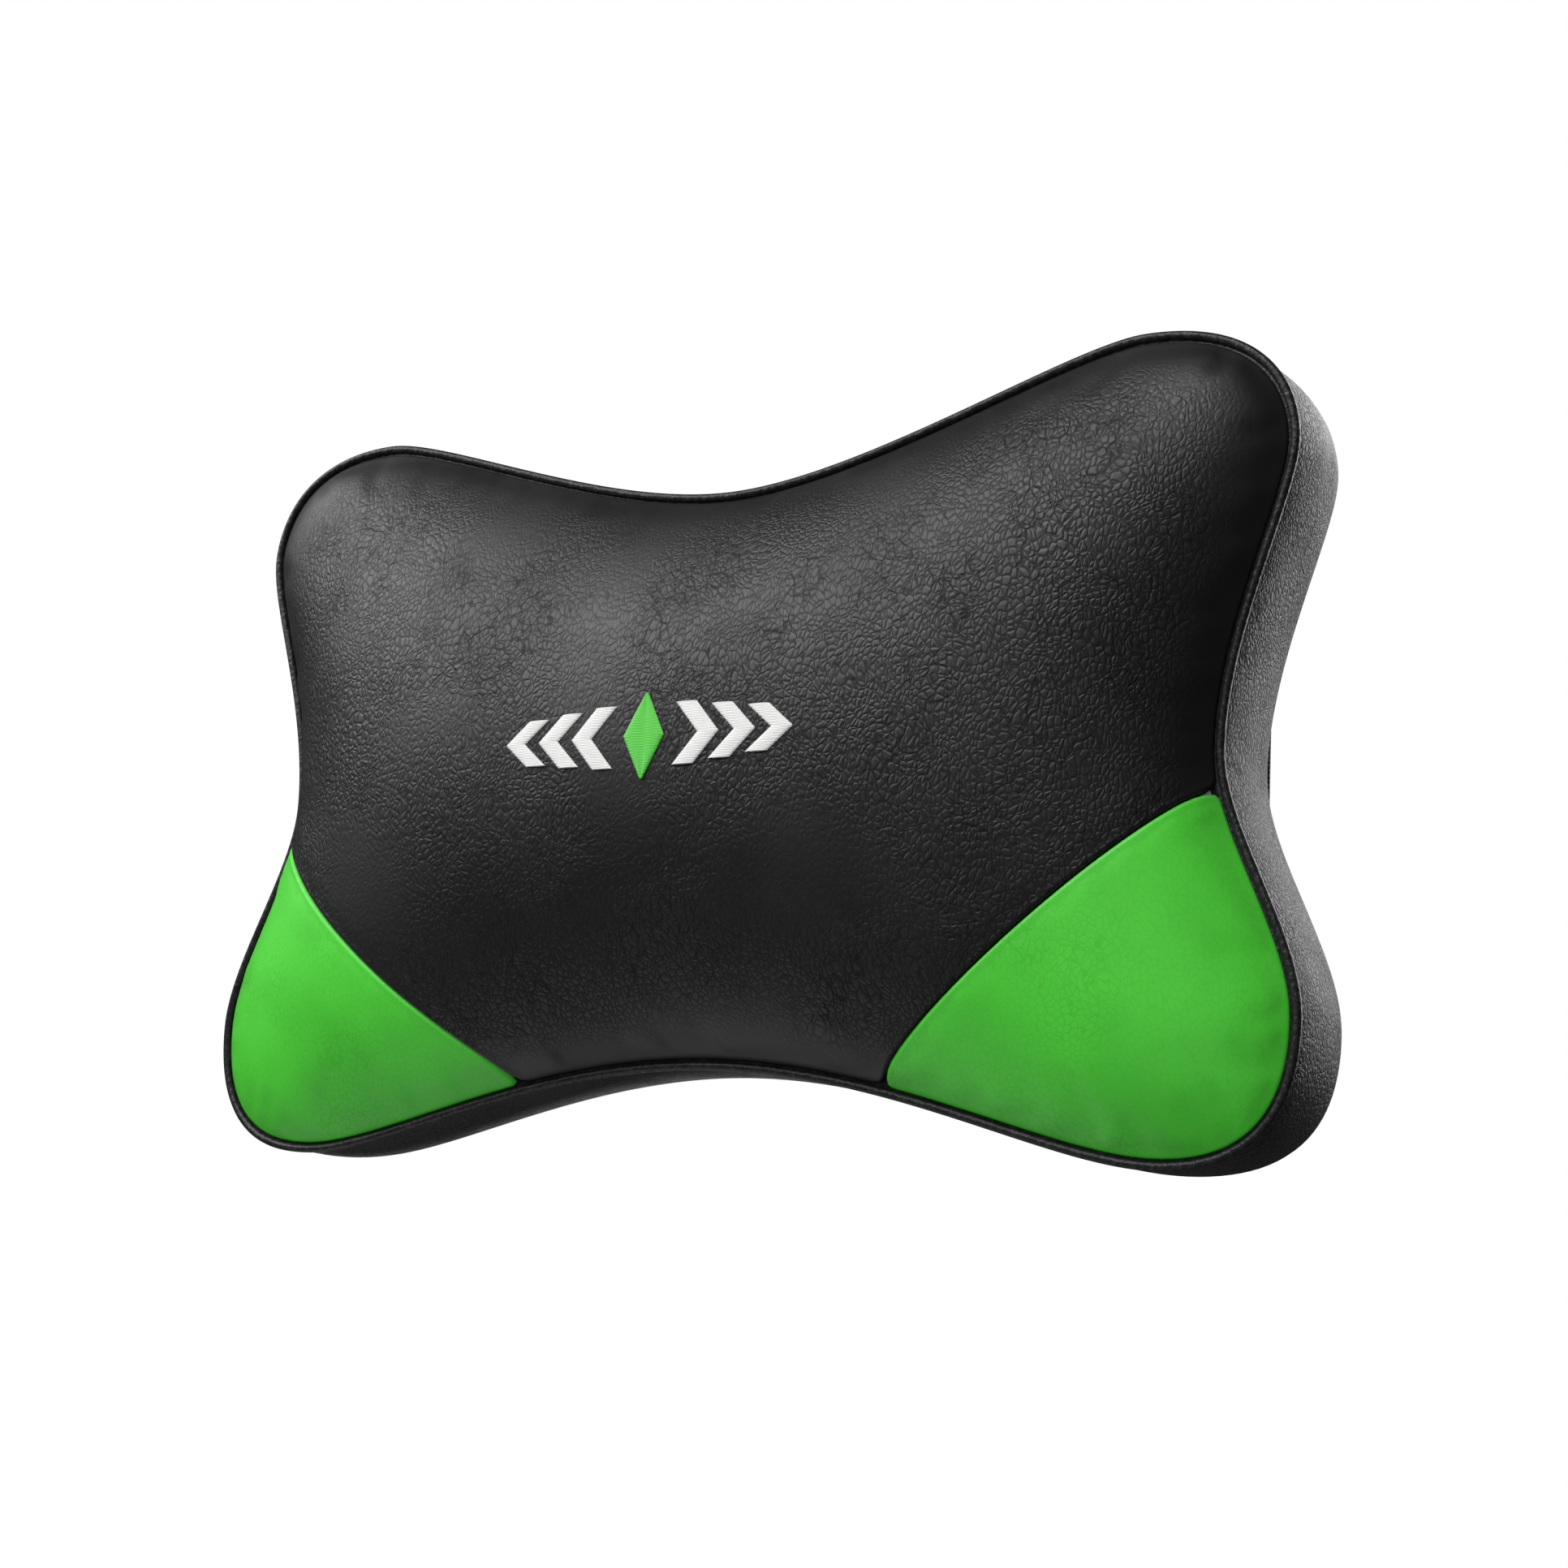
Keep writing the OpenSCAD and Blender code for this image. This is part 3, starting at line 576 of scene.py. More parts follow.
def rolled_panel(name, points, faces):
    """A panel of leather whose edges roll down into the seams, subdivided and given its thickness."""
    used = sorted({i for f in faces for i in f})
    number = {i: k for k, i in enumerate(used)}
    piece = new_object(name, points[used], [[number[i] for i in f] for f in faces])
    shape = bmesh.new()
    shape.from_mesh(piece.data)
    edge = {v for e in shape.edges if e.is_boundary for v in e.verts}
    kept = list(shape.faces)
    rings = []
    for width in EDGE_WIDTHS:
        rings.append(edge)
        strip = set(bmesh.ops.inset_region(shape, faces=kept, use_boundary=True, use_even_offset=True,
                                           thickness=width, depth=0)["faces"])
        kept = [f for f in kept if f not in strip]
        edge = {v for f in strip for v in f.verts} & {v for f in kept for v in f.verts}
    shape.normal_update()
    lean = [(vert, vert.normal * depth) for ring, depth in zip(rings, EDGE_DROPS) for vert in ring]
    for vert, drop in lean:
        vert.co -= drop
    shape.to_mesh(piece.data)
    shape.free()
    round_off = piece.modifiers.new("round", "SUBSURF")
    round_off.levels = 1
    round_off.render_levels = 1
    wall = piece.modifiers.new("leather", "SOLIDIFY")
    wall.thickness = LEATHER_T
    wall.offset = -1
    return piece


corner_right = np.concatenate([RIM[SIDE_END:LOW_END + 1], SEAM_RIGHT[-2:0:-1]])
middles = np.array([pattern[f].mean(0) for f in pattern_faces])
in_right = inside(middles, corner_right)
in_left = inside(middles * (-1, 1), corner_right)

# The groove colours given to the black and the green leather are painted shade for their pebble lines and
# creases.
black_leather = leather("black_leather", BLACK, groove_shade_colour=tone(BLACK, 0.25), roughness=0.46,
                        pebble=1.55 * MM, pebble_depth=0.1 * MM, crease=3.6 * MM,
                        crease_depth=0.06 * MM, patch=18, cover=0.34, smooth_y=FRONT_SEAM_Y)
green_leather = leather("green_leather", GREEN, groove_shade_colour=tone(GREEN, 0.7), roughness=0.46,
                        pebble=1.6 * MM, pebble_depth=0.015 * MM, crease=5.2 * MM,
                        crease_depth=0.06 * MM, patch=24, cover=0.1)
for name, cad_name, chosen, material, slot in (
        ("front_panel_leather", "front_panel", ~in_right & ~in_left, black_leather, "black_leather"),
        ("corner_leather_left", "corner_panel_left", in_left, green_leather, "green_leather"),
        ("corner_leather_right", "corner_panel_right", in_right, green_leather, "green_leather")):
    panel = rolled_panel(name, film_front, [f for f, c in zip(pattern_faces, chosen) if c])
    finished(panel, material, "root", [cad_name])

# ---------------------------------------------------------------------------------------------
# PIPING. A bead of finely wrinkled black leather rolled round a cord. Its flat edges, the flange,
# are sewn into the front seam all the way round, behind the panels.
BEAD_R = 1.12 * MM
PIPING_BLACK = (0.01, 0.01, 0.0105, 1)
FLANGE_W = 5 * MM
FLANGE_SET = 0.7 * MM
FLANGE_T = 0.5 * MM
BEAD_STEP = 1.6 * MM
BEAD_ROUNDS = 3
FOLD_FINENESS = 700
FOLD_DEPTH = 0.12 * MM


def round_bead(name, points):
    """A round bead along a closed line."""
    path = bpy.data.curves.new(name, "CURVE")
    path.dimensions = "3D"
    path.bevel_depth = BEAD_R
    path.bevel_resolution = BEAD_ROUNDS
    line = path.splines.new("POLY")
    line.points.add(len(points) - 1)
    for dot, place in zip(line.points, points):
        dot.co = (*map(float, place), 1)
    line.use_cyclic_u = True
    holder = linked(name + "_path", path)
    ready = holder.evaluated_get(bpy.context.evaluated_depsgraph_get())
    mesh = bpy.data.meshes.new_from_object(ready)
    bpy.data.objects.remove(holder)
    mesh.name = name
    return linked(name, mesh)


def from_bmesh(name, shape):
    mesh = bpy.data.meshes.new(name)
    shape.to_mesh(mesh)
    shape.free()
    return linked(name, mesh)


piping_finish = material_for("piping_leather", PIPING_BLACK, 0.46, Specular_IOR_Level=0.35)
spot = place_of(piping_finish)
# Painted shade and highlight: the colour follows the same noise as the fold relief, darker in the hollows
# and lighter on the crests.
folds = eased(piping_finish, cloud(piping_finish, spot, FOLD_FINENESS), 0.35, 0.75)
painted_fold_shading = blended(piping_finish, folds, tone(PIPING_BLACK, 0.6), tone(PIPING_BLACK, 1.5))
wire(piping_finish, painted_fold_shading, "Base Color")
relief(piping_finish, [(folds, FOLD_DEPTH)])
fine_outline, _, _ = closed_outline(BEAD_STEP)
bead_level = np.full(len(fine_outline), FRONT_SEAM_Y)
bead_line = np.stack([fine_outline[:, 0], bead_level, fine_outline[:, 1]], axis=1)
piping = round_bead("piping_bead", bead_line)
finished(piping, piping_finish, "root", ["front_piping"])

# The flange closes the seam between the bead and the edges of the panels.
flange_shape = bmesh.new()
bead_verts = [flange_shape.verts.new(tuple(p)) for p in bead_line]
bead_edges = [flange_shape.edges.new(pair) for pair in zip(bead_verts, bead_verts[1:] + bead_verts[:1])]
grown = bmesh.ops.extrude_edge_only(flange_shape, edges=bead_edges)["geom"]
inner_line = inset(fine_outline, FLANGE_W)
for vert in [g for g in grown if isinstance(g, bmesh.types.BMVert)]:
    nearest = int(np.argmin(np.linalg.norm(fine_outline - (vert.co.x, vert.co.z), axis=1)))
    vert.co = (inner_line[nearest][0], FRONT_SEAM_Y + FLANGE_SET, inner_line[nearest][1])
bmesh.ops.recalc_face_normals(flange_shape, faces=flange_shape.faces)
flange = from_bmesh("piping_flange", flange_shape)
flange_wall = flange.modifiers.new("leather", "SOLIDIFY")
flange_wall.thickness = FLANGE_T
finished(flange, piping_finish, "root", [])

# ---------------------------------------------------------------------------------------------
# GUSSET. A strip of fine-grained black leather round the whole edge, sewn to the piping in front
# and to the back panels behind; the foam makes it bulge between its two seams.
GUSSET_BLACK = (0.016, 0.016, 0.017, 1)
# Painted shade: the gusset leather's groove colour darkens its pebble lines and creases.
gusset_finish = leather("gusset_leather", GUSSET_BLACK, groove_shade_colour=tone(GUSSET_BLACK, 0.3),
                        roughness=0.52, pebble=1.15 * MM, pebble_depth=0.1 * MM,
                        crease=2.6 * MM, crease_depth=0.04 * MM, patch=26, cover=0.5)
gusset = rolled_panel("gusset_strip", filled, gusset_faces)
finished(gusset, gusset_finish, "root", ["gusset"])

# ---------------------------------------------------------------------------------------------
# BACK PANELS. Two flat pieces of black leather, joined end to end on either side of the zip and
# turned under along it. They meet the gusset in a plain turned seam and lie on the backrest.
ZIP_Z = (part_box("zip_slider")[0].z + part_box("zip_slider")[1].z) / 2
SLOT_HALF = 98 * MM
SLOT_RISE = 6 * MM
BACK_STEP = 5.5 * MM
BACK_ROUND = 6 * MM
BACK_WAVE = 0.25 * MM
BACK_WAVES_X = 90
BACK_WAVES_Z = 110
BACK_BLACK = (0.024, 0.024, 0.025, 1)


def back_loop(side):
    """Outline of the panel above (side 1) or below (side -1) the zip, with its turned-in slot."""
    beyond = (RIM[:, 1] - ZIP_Z) * side > 0
    first = int(np.flatnonzero(beyond & ~np.roll(beyond, 1))[0])
    turned = np.roll(RIM, 1 - first, 0)[:beyond.sum() + 2]
    for near, far in ((0, 1), (-1, -2)):
        share = (ZIP_Z - turned[near][1]) / (turned[far][1] - turned[near][1])
        turned[near] += (turned[far] - turned[near]) * share
    out = SLOT_HALF * np.sign(turned[-1][0])
    slot_z = ZIP_Z + side * SLOT_RISE
    corners = [turned[-1], (out, ZIP_Z), (out, slot_z), (-out, slot_z), (-out, ZIP_Z), turned[0]]
    sides = [even_steps([a, b], BACK_STEP) for a, b in zip(corners[:-1], corners[1:])]
    return np.concatenate([even_steps(turned, BACK_STEP), *sides])


# Painted shade: the back leather's groove colour darkens its pebble lines and creases.
back_finish = leather("back_leather", BACK_BLACK, groove_shade_colour=tone(BACK_BLACK, 0.35),
                      roughness=0.52, pebble=1.3 * MM, pebble_depth=0.09 * MM,
                      crease=3.0 * MM, crease_depth=0.03 * MM, patch=26, cover=0.55)
for name, side in (("back_panel_upper", 1), ("back_panel_lower", -1)):
    loop = back_loop(side)
    flat, faces = flat_pattern(loop, [], BACK_STEP)
    from_rim = np.minimum(distance_to(flat, closed(RIM)) / BACK_ROUND, 1)
    wave = BACK_WAVE * (1 + np.sin(flat[:, 0] * BACK_WAVES_X) * np.cos(flat[:, 1] * BACK_WAVES_Z)) / 2
    y = BACK_SEAM_Y * (1 - np.sin(math.pi / 2 * from_rim)) - wave
    panel = rolled_panel(name + "_leather", np.stack([flat[:, 0], y, flat[:, 1]], axis=1),
                         [f[::-1] for f in faces])
    finished(panel, back_finish, "root", [name])

# ---------------------------------------------------------------------------------------------
# ZIP. A moulded-tooth zip across the back: two woven tapes behind the turned edges, teeth that
# mesh in the middle, stops at the ends, and a black enamelled slider with its hanging pull.
TAPE_BLACK = (0.018, 0.018, 0.02, 1)
TOOTH_BLACK = (0.02, 0.02, 0.021, 1)
ENAMEL = (0.045, 0.045, 0.05, 1)
ENAMEL_DEPTH = 0.015 * MM
SCUFF_FINENESS = 900
GLOSS_FINENESS = 700
PIT_FINENESS = 1100
TAPE_PITCH = 0.7 * MM
TAPE_WEFT = 0.56 * MM
TAPE_DEPTH = 0.12 * MM
TOOTH_EDGE = 0.16 * MM
STOP_EDGE = 0.3 * MM
SLIDER_EDGE = 0.22 * MM
SAME_FACE = math.radians(1)
SHARP_EDGE = math.radians(35)


def moulded(name, source, bevel, material, body, segments=2):
    """A merged copy of a part with its sharp edges broken, in place of the part."""
    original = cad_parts[source]
    mesh = original.data.copy()
    mesh.name = name
    shape = bmesh.new()
    shape.from_mesh(mesh)
    bmesh.ops.remove_doubles(shape, verts=shape.verts, dist=SAME_PLACE)
    bmesh.ops.dissolve_limit(shape, angle_limit=SAME_FACE, verts=shape.verts, edges=shape.edges)
    for face in shape.faces:
        face.smooth = True
    shape.to_mesh(mesh)
    shape.free()
    piece = linked(name, mesh)
    edges = piece.modifiers.new("edges", "BEVEL")
    edges.width = bevel
    edges.segments = segments
    edges.limit_method = "ANGLE"
    edges.angle_limit = SHARP_EDGE
    edges.harden_normals = True
    return finished(piece, material, body, [source])


tape_finish = material_for("zip_tape", TAPE_BLACK, 0.85, Sheen_Weight=0.15)
spot = place_of(tape_finish)
weave = maths(tape_finish, "MULTIPLY", bands(tape_finish, spot, TAPE_PITCH, "X"),
              bands(tape_finish, spot, TAPE_WEFT, "Z"))
# Painted highlight and shade: the colour is lighter on the raised threads of the weave and darker between
# them, on the same mask as the relief.
wire(tape_finish, blended(tape_finish, weave, TAPE_BLACK, tone(TAPE_BLACK, 2.4)), "Base Color")
relief(tape_finish, [(weave, TAPE_DEPTH)])
for name in ("zip_tape_upper", "zip_tape_lower"):
    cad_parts[name].data.materials.clear()
    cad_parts[name].data.materials.append(tape_finish)


def plastic(name, colour, roughness, grain, depth):
    """Moulded plastic with the fine spark texture of its mould and faint wear."""
    made = material_for(name, colour, roughness)
    spot = place_of(made)
    sparks = cloud(made, spot, grain, 3.0)
    rubbed = eased(made, cloud(made, spot, 160), 0.5, 0.75)
    wire(made, blended(made, rubbed, colour, tone(colour, 1.5)), "Base Color")
    wire(made, eased(made, sparks, 0.3, 0.7, roughness - 0.08, roughness + 0.1), "Roughness")
    relief(made, [(sparks, depth)])
    return made


tooth_finish = plastic("zip_tooth_plastic", TOOTH_BLACK, roughness=0.32, grain=1500,
                       depth=0.02 * MM)
for name in ("zip_teeth_upper", "zip_teeth_lower"):
    moulded(name + "_moulding", name, TOOTH_EDGE, tooth_finish, "root")

enamel_finish = material_for("black_enamel", ENAMEL, 0.3, Metallic=0.75, Coat_Weight=0.5,
                             Coat_Roughness=0.12)
spot = place_of(enamel_finish)
scuffs = eased(enamel_finish, cloud(enamel_finish, spot, SCUFF_FINENESS, 4.0), 0.62, 0.7)
wire(enamel_finish, blended(enamel_finish, scuffs, ENAMEL, tone(ENAMEL, 3.0)), "Base Color")
smears = cloud(enamel_finish, spot, GLOSS_FINENESS)
wire(enamel_finish, eased(enamel_finish, smears, 0.3, 0.7, 0.24, 0.4), "Roughness")
relief(enamel_finish, [(cloud(enamel_finish, spot, PIT_FINENESS), ENAMEL_DEPTH)])
moulded("zip_stops_metal", "zip_end_stops", STOP_EDGE, enamel_finish, "root")
moulded("zip_slider_metal", "zip_slider", SLIDER_EDGE, enamel_finish, "slider")
moulded("zip_pull_metal", "zip_pull", SLIDER_EDGE, enamel_finish, "pull")

# Rows of lockstitch hold the turned edges on the tapes, a little way in from the slot.
STITCH_LONG = 2.7 * MM
STITCH_PITCH = 3.4 * MM
STITCH_R = 0.26 * MM
THREAD_BLACK = (0.045, 0.045, 0.048, 1)
STRAND_FINENESS = 3200
STRAND_DEPTH = 0.08 * MM

thread_finish = material_for("black_thread", THREAD_BLACK, 0.6, Sheen_Weight=0.3)
spot = place_of(thread_finish)
strands = cloud(thread_finish, spot, STRAND_FINENESS)
# Painted shade and highlight: the colour is darker in the dips between strands and lighter on them, on
# the same noise as the relief.
wire(thread_finish, blended(thread_finish, strands, tone(THREAD_BLACK, 0.6), tone(THREAD_BLACK, 1.5)),
     "Base Color")
relief(thread_finish, [(strands, STRAND_DEPTH)])


def stitched(name, lines, material, nodes):
    """Rows of single stitches along straight lines given as pairs of points."""
    shape = bmesh.new()
    for a, b in lines:
        a, b = Vector(a), Vector(b)
        count = max(1, round((b - a).length / STITCH_PITCH))
        along = (b - a).normalized()
        turn = along.to_track_quat("X", "Z").to_matrix().to_4x4()
        for k in range(count):
            middle = a + (b - a) * (k + 0.5) / count
            size = Matrix.Diagonal((STITCH_LONG / 2, STITCH_R, STITCH_R, 1))
            bmesh.ops.create_uvsphere(shape, u_segments=8, v_segments=6, radius=1,
                                      matrix=Matrix.Translation(middle) @ turn @ size)
    return finished(from_bmesh(name, shape), material, "root", nodes)


SLOT_STITCH = 2.2 * MM
slot_x = SLOT_HALF + SLOT_STITCH
slot_lines = []
for side in (-1, 1):
    z = ZIP_Z + side * (SLOT_RISE + SLOT_STITCH)
    slot_lines.append(((-slot_x, 0, z), (slot_x, 0, z)))
    slot_lines.append(((side * slot_x, 0, ZIP_Z - SLOT_RISE - SLOT_STITCH),
                       (side * slot_x, 0, ZIP_Z + SLOT_RISE + SLOT_STITCH)))
stitched("zip_topstitch", slot_lines, thread_finish, [])

# ---------------------------------------------------------------------------------------------
# STRAP. Two lengths of black ribbed elastic, each sewn flat on the back near the waist. They rise
# clear of the back, so that a backrest goes between, and turn round the bars of the buckle.
STRAP_T = 1.6 * MM
STRAP_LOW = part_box("strap_left")[0].z
STRAP_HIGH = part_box("strap_left")[1].z
STRAP_Y = 9.4 * MM + STRAP_T / 2
ANCHOR_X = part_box("strap_right")[1].x
ANCHOR_END_X = 118 * MM
RISE_END_X = 96 * MM
BAR_Y = 13 * MM
BEND_R = 2.8 * MM
PLUG_BAR_X = 20 * MM
SOCKET_BAR_X = 32 * MM
TAIL_X = 90 * MM
FOLD_START_X, FOLD_END_X, FOLD_TAIL_X = 40 * MM, 52 * MM, 64 * MM
ELASTIC = (0.02, 0.02, 0.022, 1)
RIB_PITCH = 1.25 * MM
WEFT_PITCH = 0.9 * MM
WEAVE_DEPTH = 0.25 * MM
STRAP_STEP = 1.6 * MM
STRAP_ROWS = 12
SLOPE_POINTS = 12
BEND_POINTS = 16
SELVEDGE = 0.45 * MM
SELVEDGE_SHARP = math.radians(50)
FOLD_ROWS = (4 * MM, 8 * MM)


def slope(x0, y0, x1, y1):
    """A strap's path from one level to another, easing at both ends."""
    return [(x0 + (x1 - x0) * t, y0 + (y1 - y0) * (1 - math.cos(math.pi * t)) / 2)
            for t in np.linspace(0, 1, SLOPE_POINTS)]


def webbing(name, path, body, node_name):
    """A strip of elastic along a path in the X-Y plane, with a map of its length and width."""
    path = even_steps(path, STRAP_STEP)
    length = np.concatenate([[0], np.cumsum(np.linalg.norm(np.diff(path, axis=0), axis=1))])
    shape = bmesh.new()
    run_map = shape.loops.layers.uv.new("run")
    verts = [shape.verts.new((x, y, STRAP_LOW)) for x, y in path]
    edges = [shape.edges.new(pair) for pair in zip(verts[:-1], verts[1:])]
    for _ in range(STRAP_ROWS):
        done = bmesh.ops.extrude_edge_only(shape, edges=edges)["geom"]
        edges = [g for g in done if isinstance(g, bmesh.types.BMEdge) and all(v in done for v in g.verts)]
        row = [g for g in done if isinstance(g, bmesh.types.BMVert)]
        bmesh.ops.translate(shape, verts=row, vec=(0, 0, (STRAP_HIGH - STRAP_LOW) / STRAP_ROWS))
    for face in shape.faces:
        for corner in face.loops:
            x, y, z = corner.vert.co
            nearest = int(np.argmin(np.linalg.norm(path - (x, y), axis=1)))
            corner[run_map].uv = (length[nearest], z - STRAP_LOW)
    bmesh.ops.recalc_face_normals(shape, faces=shape.faces)
    piece = from_bmesh(name, shape)
    wall = piece.modifiers.new("thickness", "SOLIDIFY")
    wall.thickness = STRAP_T
    wall.offset = 0
    edge = piece.modifiers.new("selvedge", "BEVEL")
    edge.width = SELVEDGE
    edge.segments = 2
    edge.limit_method = "ANGLE"
    edge.angle_limit = SELVEDGE_SHARP
    return finished(piece, elastic_finish, body, [node_name])


elastic_finish = material_for("ribbed_elastic", ELASTIC, 0.8, Sheen_Weight=0.25)
run = node(elastic_finish, "ShaderNodeUVMap", {}, uv_map="run").outputs[0]
ribs = bands(elastic_finish, run, RIB_PITCH, "Y")
weft = bands(elastic_finish, run, WEFT_PITCH, "X")
weave = maths(elastic_finish, "ADD", maths(elastic_finish, "MULTIPLY", ribs, 0.65),
              maths(elastic_finish, "MULTIPLY", weft, 0.35))
# Painted shade and highlight: the colour is darker between the ribs and lighter on them, on the same mask
# as the relief.
wire(elastic_finish, blended(elastic_finish, weave, tone(ELASTIC, 0.5), tone(ELASTIC, 2.2)), "Base Color")
relief(elastic_finish, [(weave, WEAVE_DEPTH)])


def bar_turn(x):
    """The half turn round a buckle's bar."""
    return [(x + BEND_R * math.cos(a), BAR_Y + BEND_R * math.sin(a))
            for a in np.linspace(1.5 * math.pi, 0.5 * math.pi, BEND_POINTS)]


half_run = [(ANCHOR_X, STRAP_T / 2), (ANCHOR_END_X, STRAP_T / 2),
            *slope(ANCHOR_END_X, STRAP_T / 2, RISE_END_X, STRAP_Y)]
right_path = half_run + bar_turn(PLUG_BAR_X) + [(TAIL_X, BAR_Y + BEND_R)]
fold = slope(FOLD_START_X, BAR_Y + BEND_R, FOLD_END_X, STRAP_Y + STRAP_T)
left_path = half_run + bar_turn(SOCKET_BAR_X) + fold + [(FOLD_TAIL_X, STRAP_Y + STRAP_T)]
webbing("elastic_strap_left", [(-x, y) for x, y in left_path], "root", "strap_left")
strap_right = webbing("elastic_strap_right", right_path, None, "strap_right")
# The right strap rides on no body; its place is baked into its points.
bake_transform(strap_right)

# Box stitches hold the strap's ends on the back, and two rows hold the folded end.
BOX_IN = ANCHOR_END_X + 4 * MM
BOX_OUT = ANCHOR_X - 3 * MM
BOX_LOW = STRAP_LOW + 3 * MM
BOX_HIGH = STRAP_HIGH - 3 * MM
box_lines = []
for side in (-1, 1):
    y = STRAP_T + STITCH_R / 2
    corners = [(side * BOX_IN, y, BOX_LOW), (side * BOX_OUT, y, BOX_LOW),
               (side * BOX_OUT, y, BOX_HIGH), (side * BOX_IN, y, BOX_HIGH)]
    box_lines += list(zip(corners, corners[1:] + corners[:1]))
    box_lines += [(corners[0], corners[2]), (corners[1], corners[3])]
for in_from_fold in FOLD_ROWS:
    x = -FOLD_END_X - in_from_fold
    y = STRAP_Y + STRAP_T * 1.5 + STITCH_R / 2
    box_lines.append(((x, y, BOX_LOW), (x, y, BOX_HIGH)))
stitched("strap_stitches", box_lines, thread_finish, ["anchor_stitches"])

# ---------------------------------------------------------------------------------------------
# BUCKLE AND KEEPER. A side-release buckle of black acetal: a socket, a plug with two springy arms
# whose pads stand in the socket's side windows, and a loop that holds down the strap's free end.
ACETAL = (0.02, 0.02, 0.021, 1)
EDGE_STEPS = 3
acetal_finish = plastic("acetal", ACETAL, roughness=0.42, grain=1900, depth=0.035 * MM)
for name, source, rounding, body in (
        ("buckle_socket_moulding", "buckle_socket", 0.8 * MM, "root"),
        ("buckle_plug_moulding", "buckle_plug", 0.6 * MM, "plug"),
        ("buckle_arms_moulding", "buckle_arms", 0.7 * MM, "plug"),
        ("keeper_moulding", "strap_keeper", 0.5 * MM, "keeper")):
    moulded(name, source, rounding, acetal_finish, body, EDGE_STEPS)

# ---------------------------------------------------------------------------------------------
# EMBROIDERY. A plain device in satin stitch on the front: three white chevrons on either side of
# a green diamond. Threads lie side by side across each shape, a little uneven at their ends.
THREAD_PITCH = 0.42 * MM
THREAD_RISE = 0.5 * MM
THREAD_ROUND = 0.16 * MM
THREAD_ROUNDING = (0.0, 0.75, 1.0, 0.75)
THREAD_BED = 0.12 * MM
SATIN_DEPTH = 0.6 * MM
SATIN_ACROSS = 8
FIBRE_FINENESS = 900
FIBRE_DEPTH = 0.03 * MM
FIBRE_STRETCH = (0.4, 1.0, 3.0)
EMBLEM_Z = 7 * MM
CHEVRON_TALL = (8 * MM, 7 * MM, 6 * MM)
CHEVRON_FIRST = 9 * MM
CHEVRON_PITCH = 10.5 * MM
CHEVRON_POINT = 7 * MM
CHEVRON_WIDE = 6 * MM
DIAMOND_TALL = 11 * MM
DIAMOND_WIDE = 5.6 * MM
DIAMOND_TIP = 0.4 * MM
WELL_AHEAD = -0.2
WHITE_THREAD = (0.7, 0.7, 0.69, 1)
GREEN_THREAD = (0.07, 0.5, 0.035, 1)
crown_tree = BVHTree.FromPolygons([tuple(p) for p in film_front], pattern_faces)


def on_crown(x, z, lift):
    """A point over the leather's outside, lifted off it."""
    hit, normal, _, _ = crown_tree.ray_cast(Vector((x, WELL_AHEAD, z)), Vector((0, 1, 0)))
    if normal.y > 0:
        normal = -normal
    return hit + normal * lift


def satin(name, shapes, colour, slot, node_name, split=False):
    """Satin stitch over shapes, each (lowest z, highest z, function of z to its left and right x)."""
    shape = bmesh.new()
    steps = len(THREAD_ROUNDING)
    for low, high, ends in shapes:
        count = round((high - low) / THREAD_PITCH)
        last = None
        for k in range(count * steps + 1):
            thread, part = divmod(k, steps)
            z = low + (high - low) * k / (count * steps)
            left, right = ends(z)
            ragged = THREAD_ROUND * (0.5 if thread % 2 else 0) * (1 if part else 0)
            left, right = left - ragged, right + ragged
            row = []
            for i in range(SATIN_ACROSS + 1):
                t = i / SATIN_ACROSS
                swell = abs(math.sin((math.tau if split else math.pi) * t)) ** 0.5
                lift = THREAD_BED + (THREAD_RISE - THREAD_BED) * swell
                lift += THREAD_ROUND * THREAD_ROUNDING[part]
                row.append(shape.verts.new(on_crown(left + (right - left) * t, z, lift)))
            if last:
                for i in range(SATIN_ACROSS):
                    shape.faces.new((last[i], last[i + 1], row[i + 1], row[i]))
            last = row
    piece = from_bmesh(name, shape)
    root = piece.modifiers.new("root", "SOLIDIFY")
    root.thickness = SATIN_DEPTH
    root.offset = -1
    made = material_for(slot, colour, 0.45, Sheen_Weight=0.25)
    spot = stretched(made, place_of(made), FIBRE_STRETCH)
    fibres = cloud(made, spot, FIBRE_FINENESS)
    # Painted shade: the thread colour is a little darker where the fibre relief dips, on the same noise.
    wire(made, blended(made, fibres, tone(colour, 0.86), tone(colour, 1.05)), "Base Color")
    relief(made, [(fibres, FIBRE_DEPTH)])
    return finished(piece, made, "root", [node_name])


def chevron(side, k):
    """The k-th chevron out from the diamond, pointing away from it."""
    tall = CHEVRON_TALL[k]
    near = CHEVRON_FIRST + CHEVRON_PITCH * k

    def ends(z):
        x = near + CHEVRON_POINT * (1 - abs(z - EMBLEM_Z) / tall)
        return (x, x + CHEVRON_WIDE) if side > 0 else (-x - CHEVRON_WIDE, -x)
    return EMBLEM_Z - tall, EMBLEM_Z + tall, ends


def diamond(z):
    half = DIAMOND_TIP + DIAMOND_WIDE * (1 - abs(z - EMBLEM_Z) / DIAMOND_TALL)
    return -half, half


satin("embroidered_chevrons", [chevron(side, k) for side in (-1, 1) for k in range(3)],
      WHITE_THREAD, "white_thread", "emblem_white")
satin("embroidered_diamond", [(EMBLEM_Z - DIAMOND_TALL, EMBLEM_Z + DIAMOND_TALL, diamond)],
      GREEN_THREAD, "green_thread", "emblem_green", split=True)

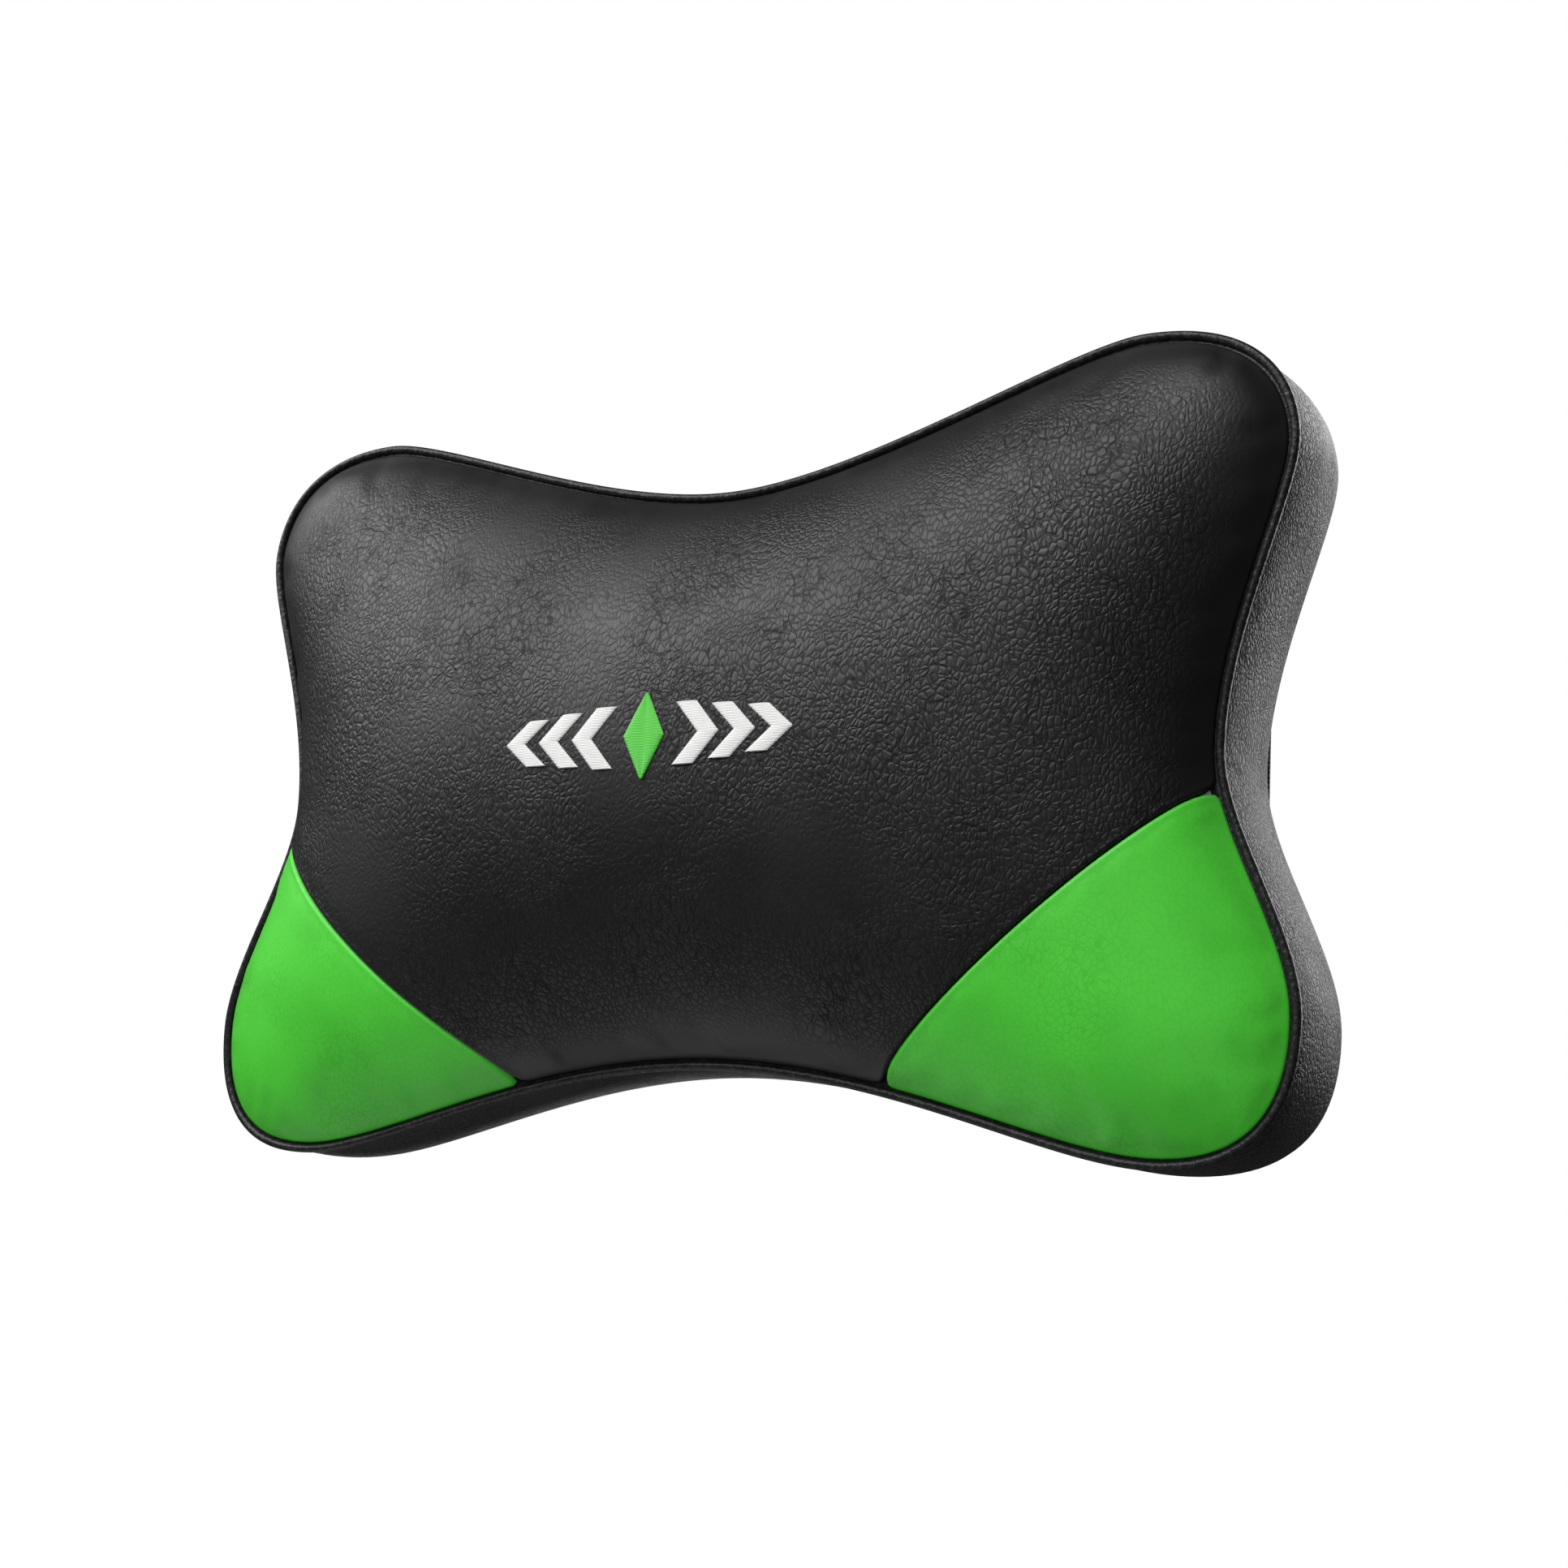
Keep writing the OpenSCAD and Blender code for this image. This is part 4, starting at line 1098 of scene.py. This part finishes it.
# ---------------------------------------------------------------------------------------------
# STUDIO. The cushion hangs over a plain pale floor, and the camera looks up at it from the right.
# Soft lights stand high on the left and above the front, with a broad fill that leaves no shine,
# a small card below, and three more behind that light the gusset and the back.
CAMERA_AIM = Vector((21.3, -35, 0)) * MM
CAMERA_TURN = math.radians(31.6)
CAMERA_RISE = math.radians(-11.05)
CAMERA_ROLL = math.radians(3.2)
CAMERA_FAR = 693 * MM
CAMERA_LENS = 62.3
FLOOR_Z = -0.6
FLOOR_HALF = 6
PAPER_WHITE = (1, 1, 1, 1)
PALE = (0.08, 0.08, 0.08, 1)
ROOM_LIGHT = 0.025
scene = bpy.context.scene

back_way = Vector((math.sin(CAMERA_TURN) * math.cos(CAMERA_RISE),
                   -math.cos(CAMERA_TURN) * math.cos(CAMERA_RISE), math.sin(CAMERA_RISE)))
right_way = (-back_way).cross(Vector((0, 0, 1))).normalized()
up_way = right_way.cross(-back_way)
turned_right = right_way * math.cos(CAMERA_ROLL) + up_way * math.sin(CAMERA_ROLL)
turned_up = up_way * math.cos(CAMERA_ROLL) - right_way * math.sin(CAMERA_ROLL)
lens = bpy.data.cameras.new("camera")
lens.lens = CAMERA_LENS
lens.sensor_width = 36
lens.clip_start = 0.02
camera = linked("camera", lens)
facing = Matrix((turned_right, turned_up, back_way)).transposed().to_4x4()
camera.matrix_world = Matrix.Translation(CAMERA_AIM + back_way * CAMERA_FAR) @ facing
scene.camera = camera


def softbox(name, place, aim, width, height, watts, glossy=True):
    """A soft light aimed at a point; one that is not glossy leaves no shine."""
    lamp = bpy.data.lights.new(name, "AREA")
    lamp.shape = "RECTANGLE"
    lamp.size = width
    lamp.size_y = height
    lamp.energy = watts
    holder = linked(name, lamp)
    holder.location = place
    holder.rotation_euler = (Vector(aim) - Vector(place)).to_track_quat("-Z", "Y").to_euler()
    holder.visible_glossy = glossy


softbox("key_left", (-0.86, -0.54, 0.62), (0, -0.05, 0.02), 1.0, 0.6, 10.5)
softbox("top_front", (-0.16, -0.85, 0.92), (0, 0, 0), 0.7, 0.5, 12)
softbox("floor_card", (-0.3, -0.1, -0.5), (0, -0.03, -0.05), 0.5, 0.4, 0.5)
softbox("fill_front", (0.3, -1.2, -0.1), (0, 0, 0), 1.0, 1.0, 8, glossy=False)
softbox("rim_right", (0.62, 0.95, 0.38), (0.1, 0, 0), 0.6, 0.8, 9)
softbox("behind", (0.15, 1.2, 0.85), (0, 0, 0), 0.9, 0.7, 7)
softbox("back_left", (-0.75, 0.95, -0.12), (0, 0, 0), 0.6, 0.3, 1.8)

floor_shape = bmesh.new()
bmesh.ops.create_grid(floor_shape, x_segments=8, y_segments=8, size=FLOOR_HALF,
                      matrix=Matrix.Translation((0, 0, FLOOR_Z)))
floor = from_bmesh("floor", floor_shape)
floor_finish = material_for("pale_floor", PALE, 0.9)
nodes = floor_finish.node_tree.nodes
glow = node(floor_finish, "ShaderNodeEmission", {"Color": PAPER_WHITE, "Strength": 1.0})
seen = node(floor_finish, "ShaderNodeLightPath", {}).outputs["Is Camera Ray"]
both = node(floor_finish, "ShaderNodeMixShader",
            {0: seen, 1: nodes["Principled BSDF"].outputs[0], 2: glow.outputs[0]})
floor_finish.node_tree.links.new(both.outputs[0], nodes["Material Output"].inputs["Surface"])
floor.data.materials.append(floor_finish)

world = bpy.data.worlds.new("studio")
scene.world = world
world.use_nodes = True
sky = world.node_tree
seen = sky.nodes.new("ShaderNodeLightPath").outputs["Is Camera Ray"]
strength = sky.nodes.new("ShaderNodeMapRange")
strength.inputs["To Min"].default_value = ROOM_LIGHT
strength.inputs["To Max"].default_value = 1.0
sky.links.new(seen, strength.inputs["Value"])
sky.links.new(strength.outputs[0], sky.nodes["Background"].inputs["Strength"])
sky.nodes["Background"].inputs["Color"].default_value = PAPER_WHITE
scene.view_settings.view_transform = "Standard"
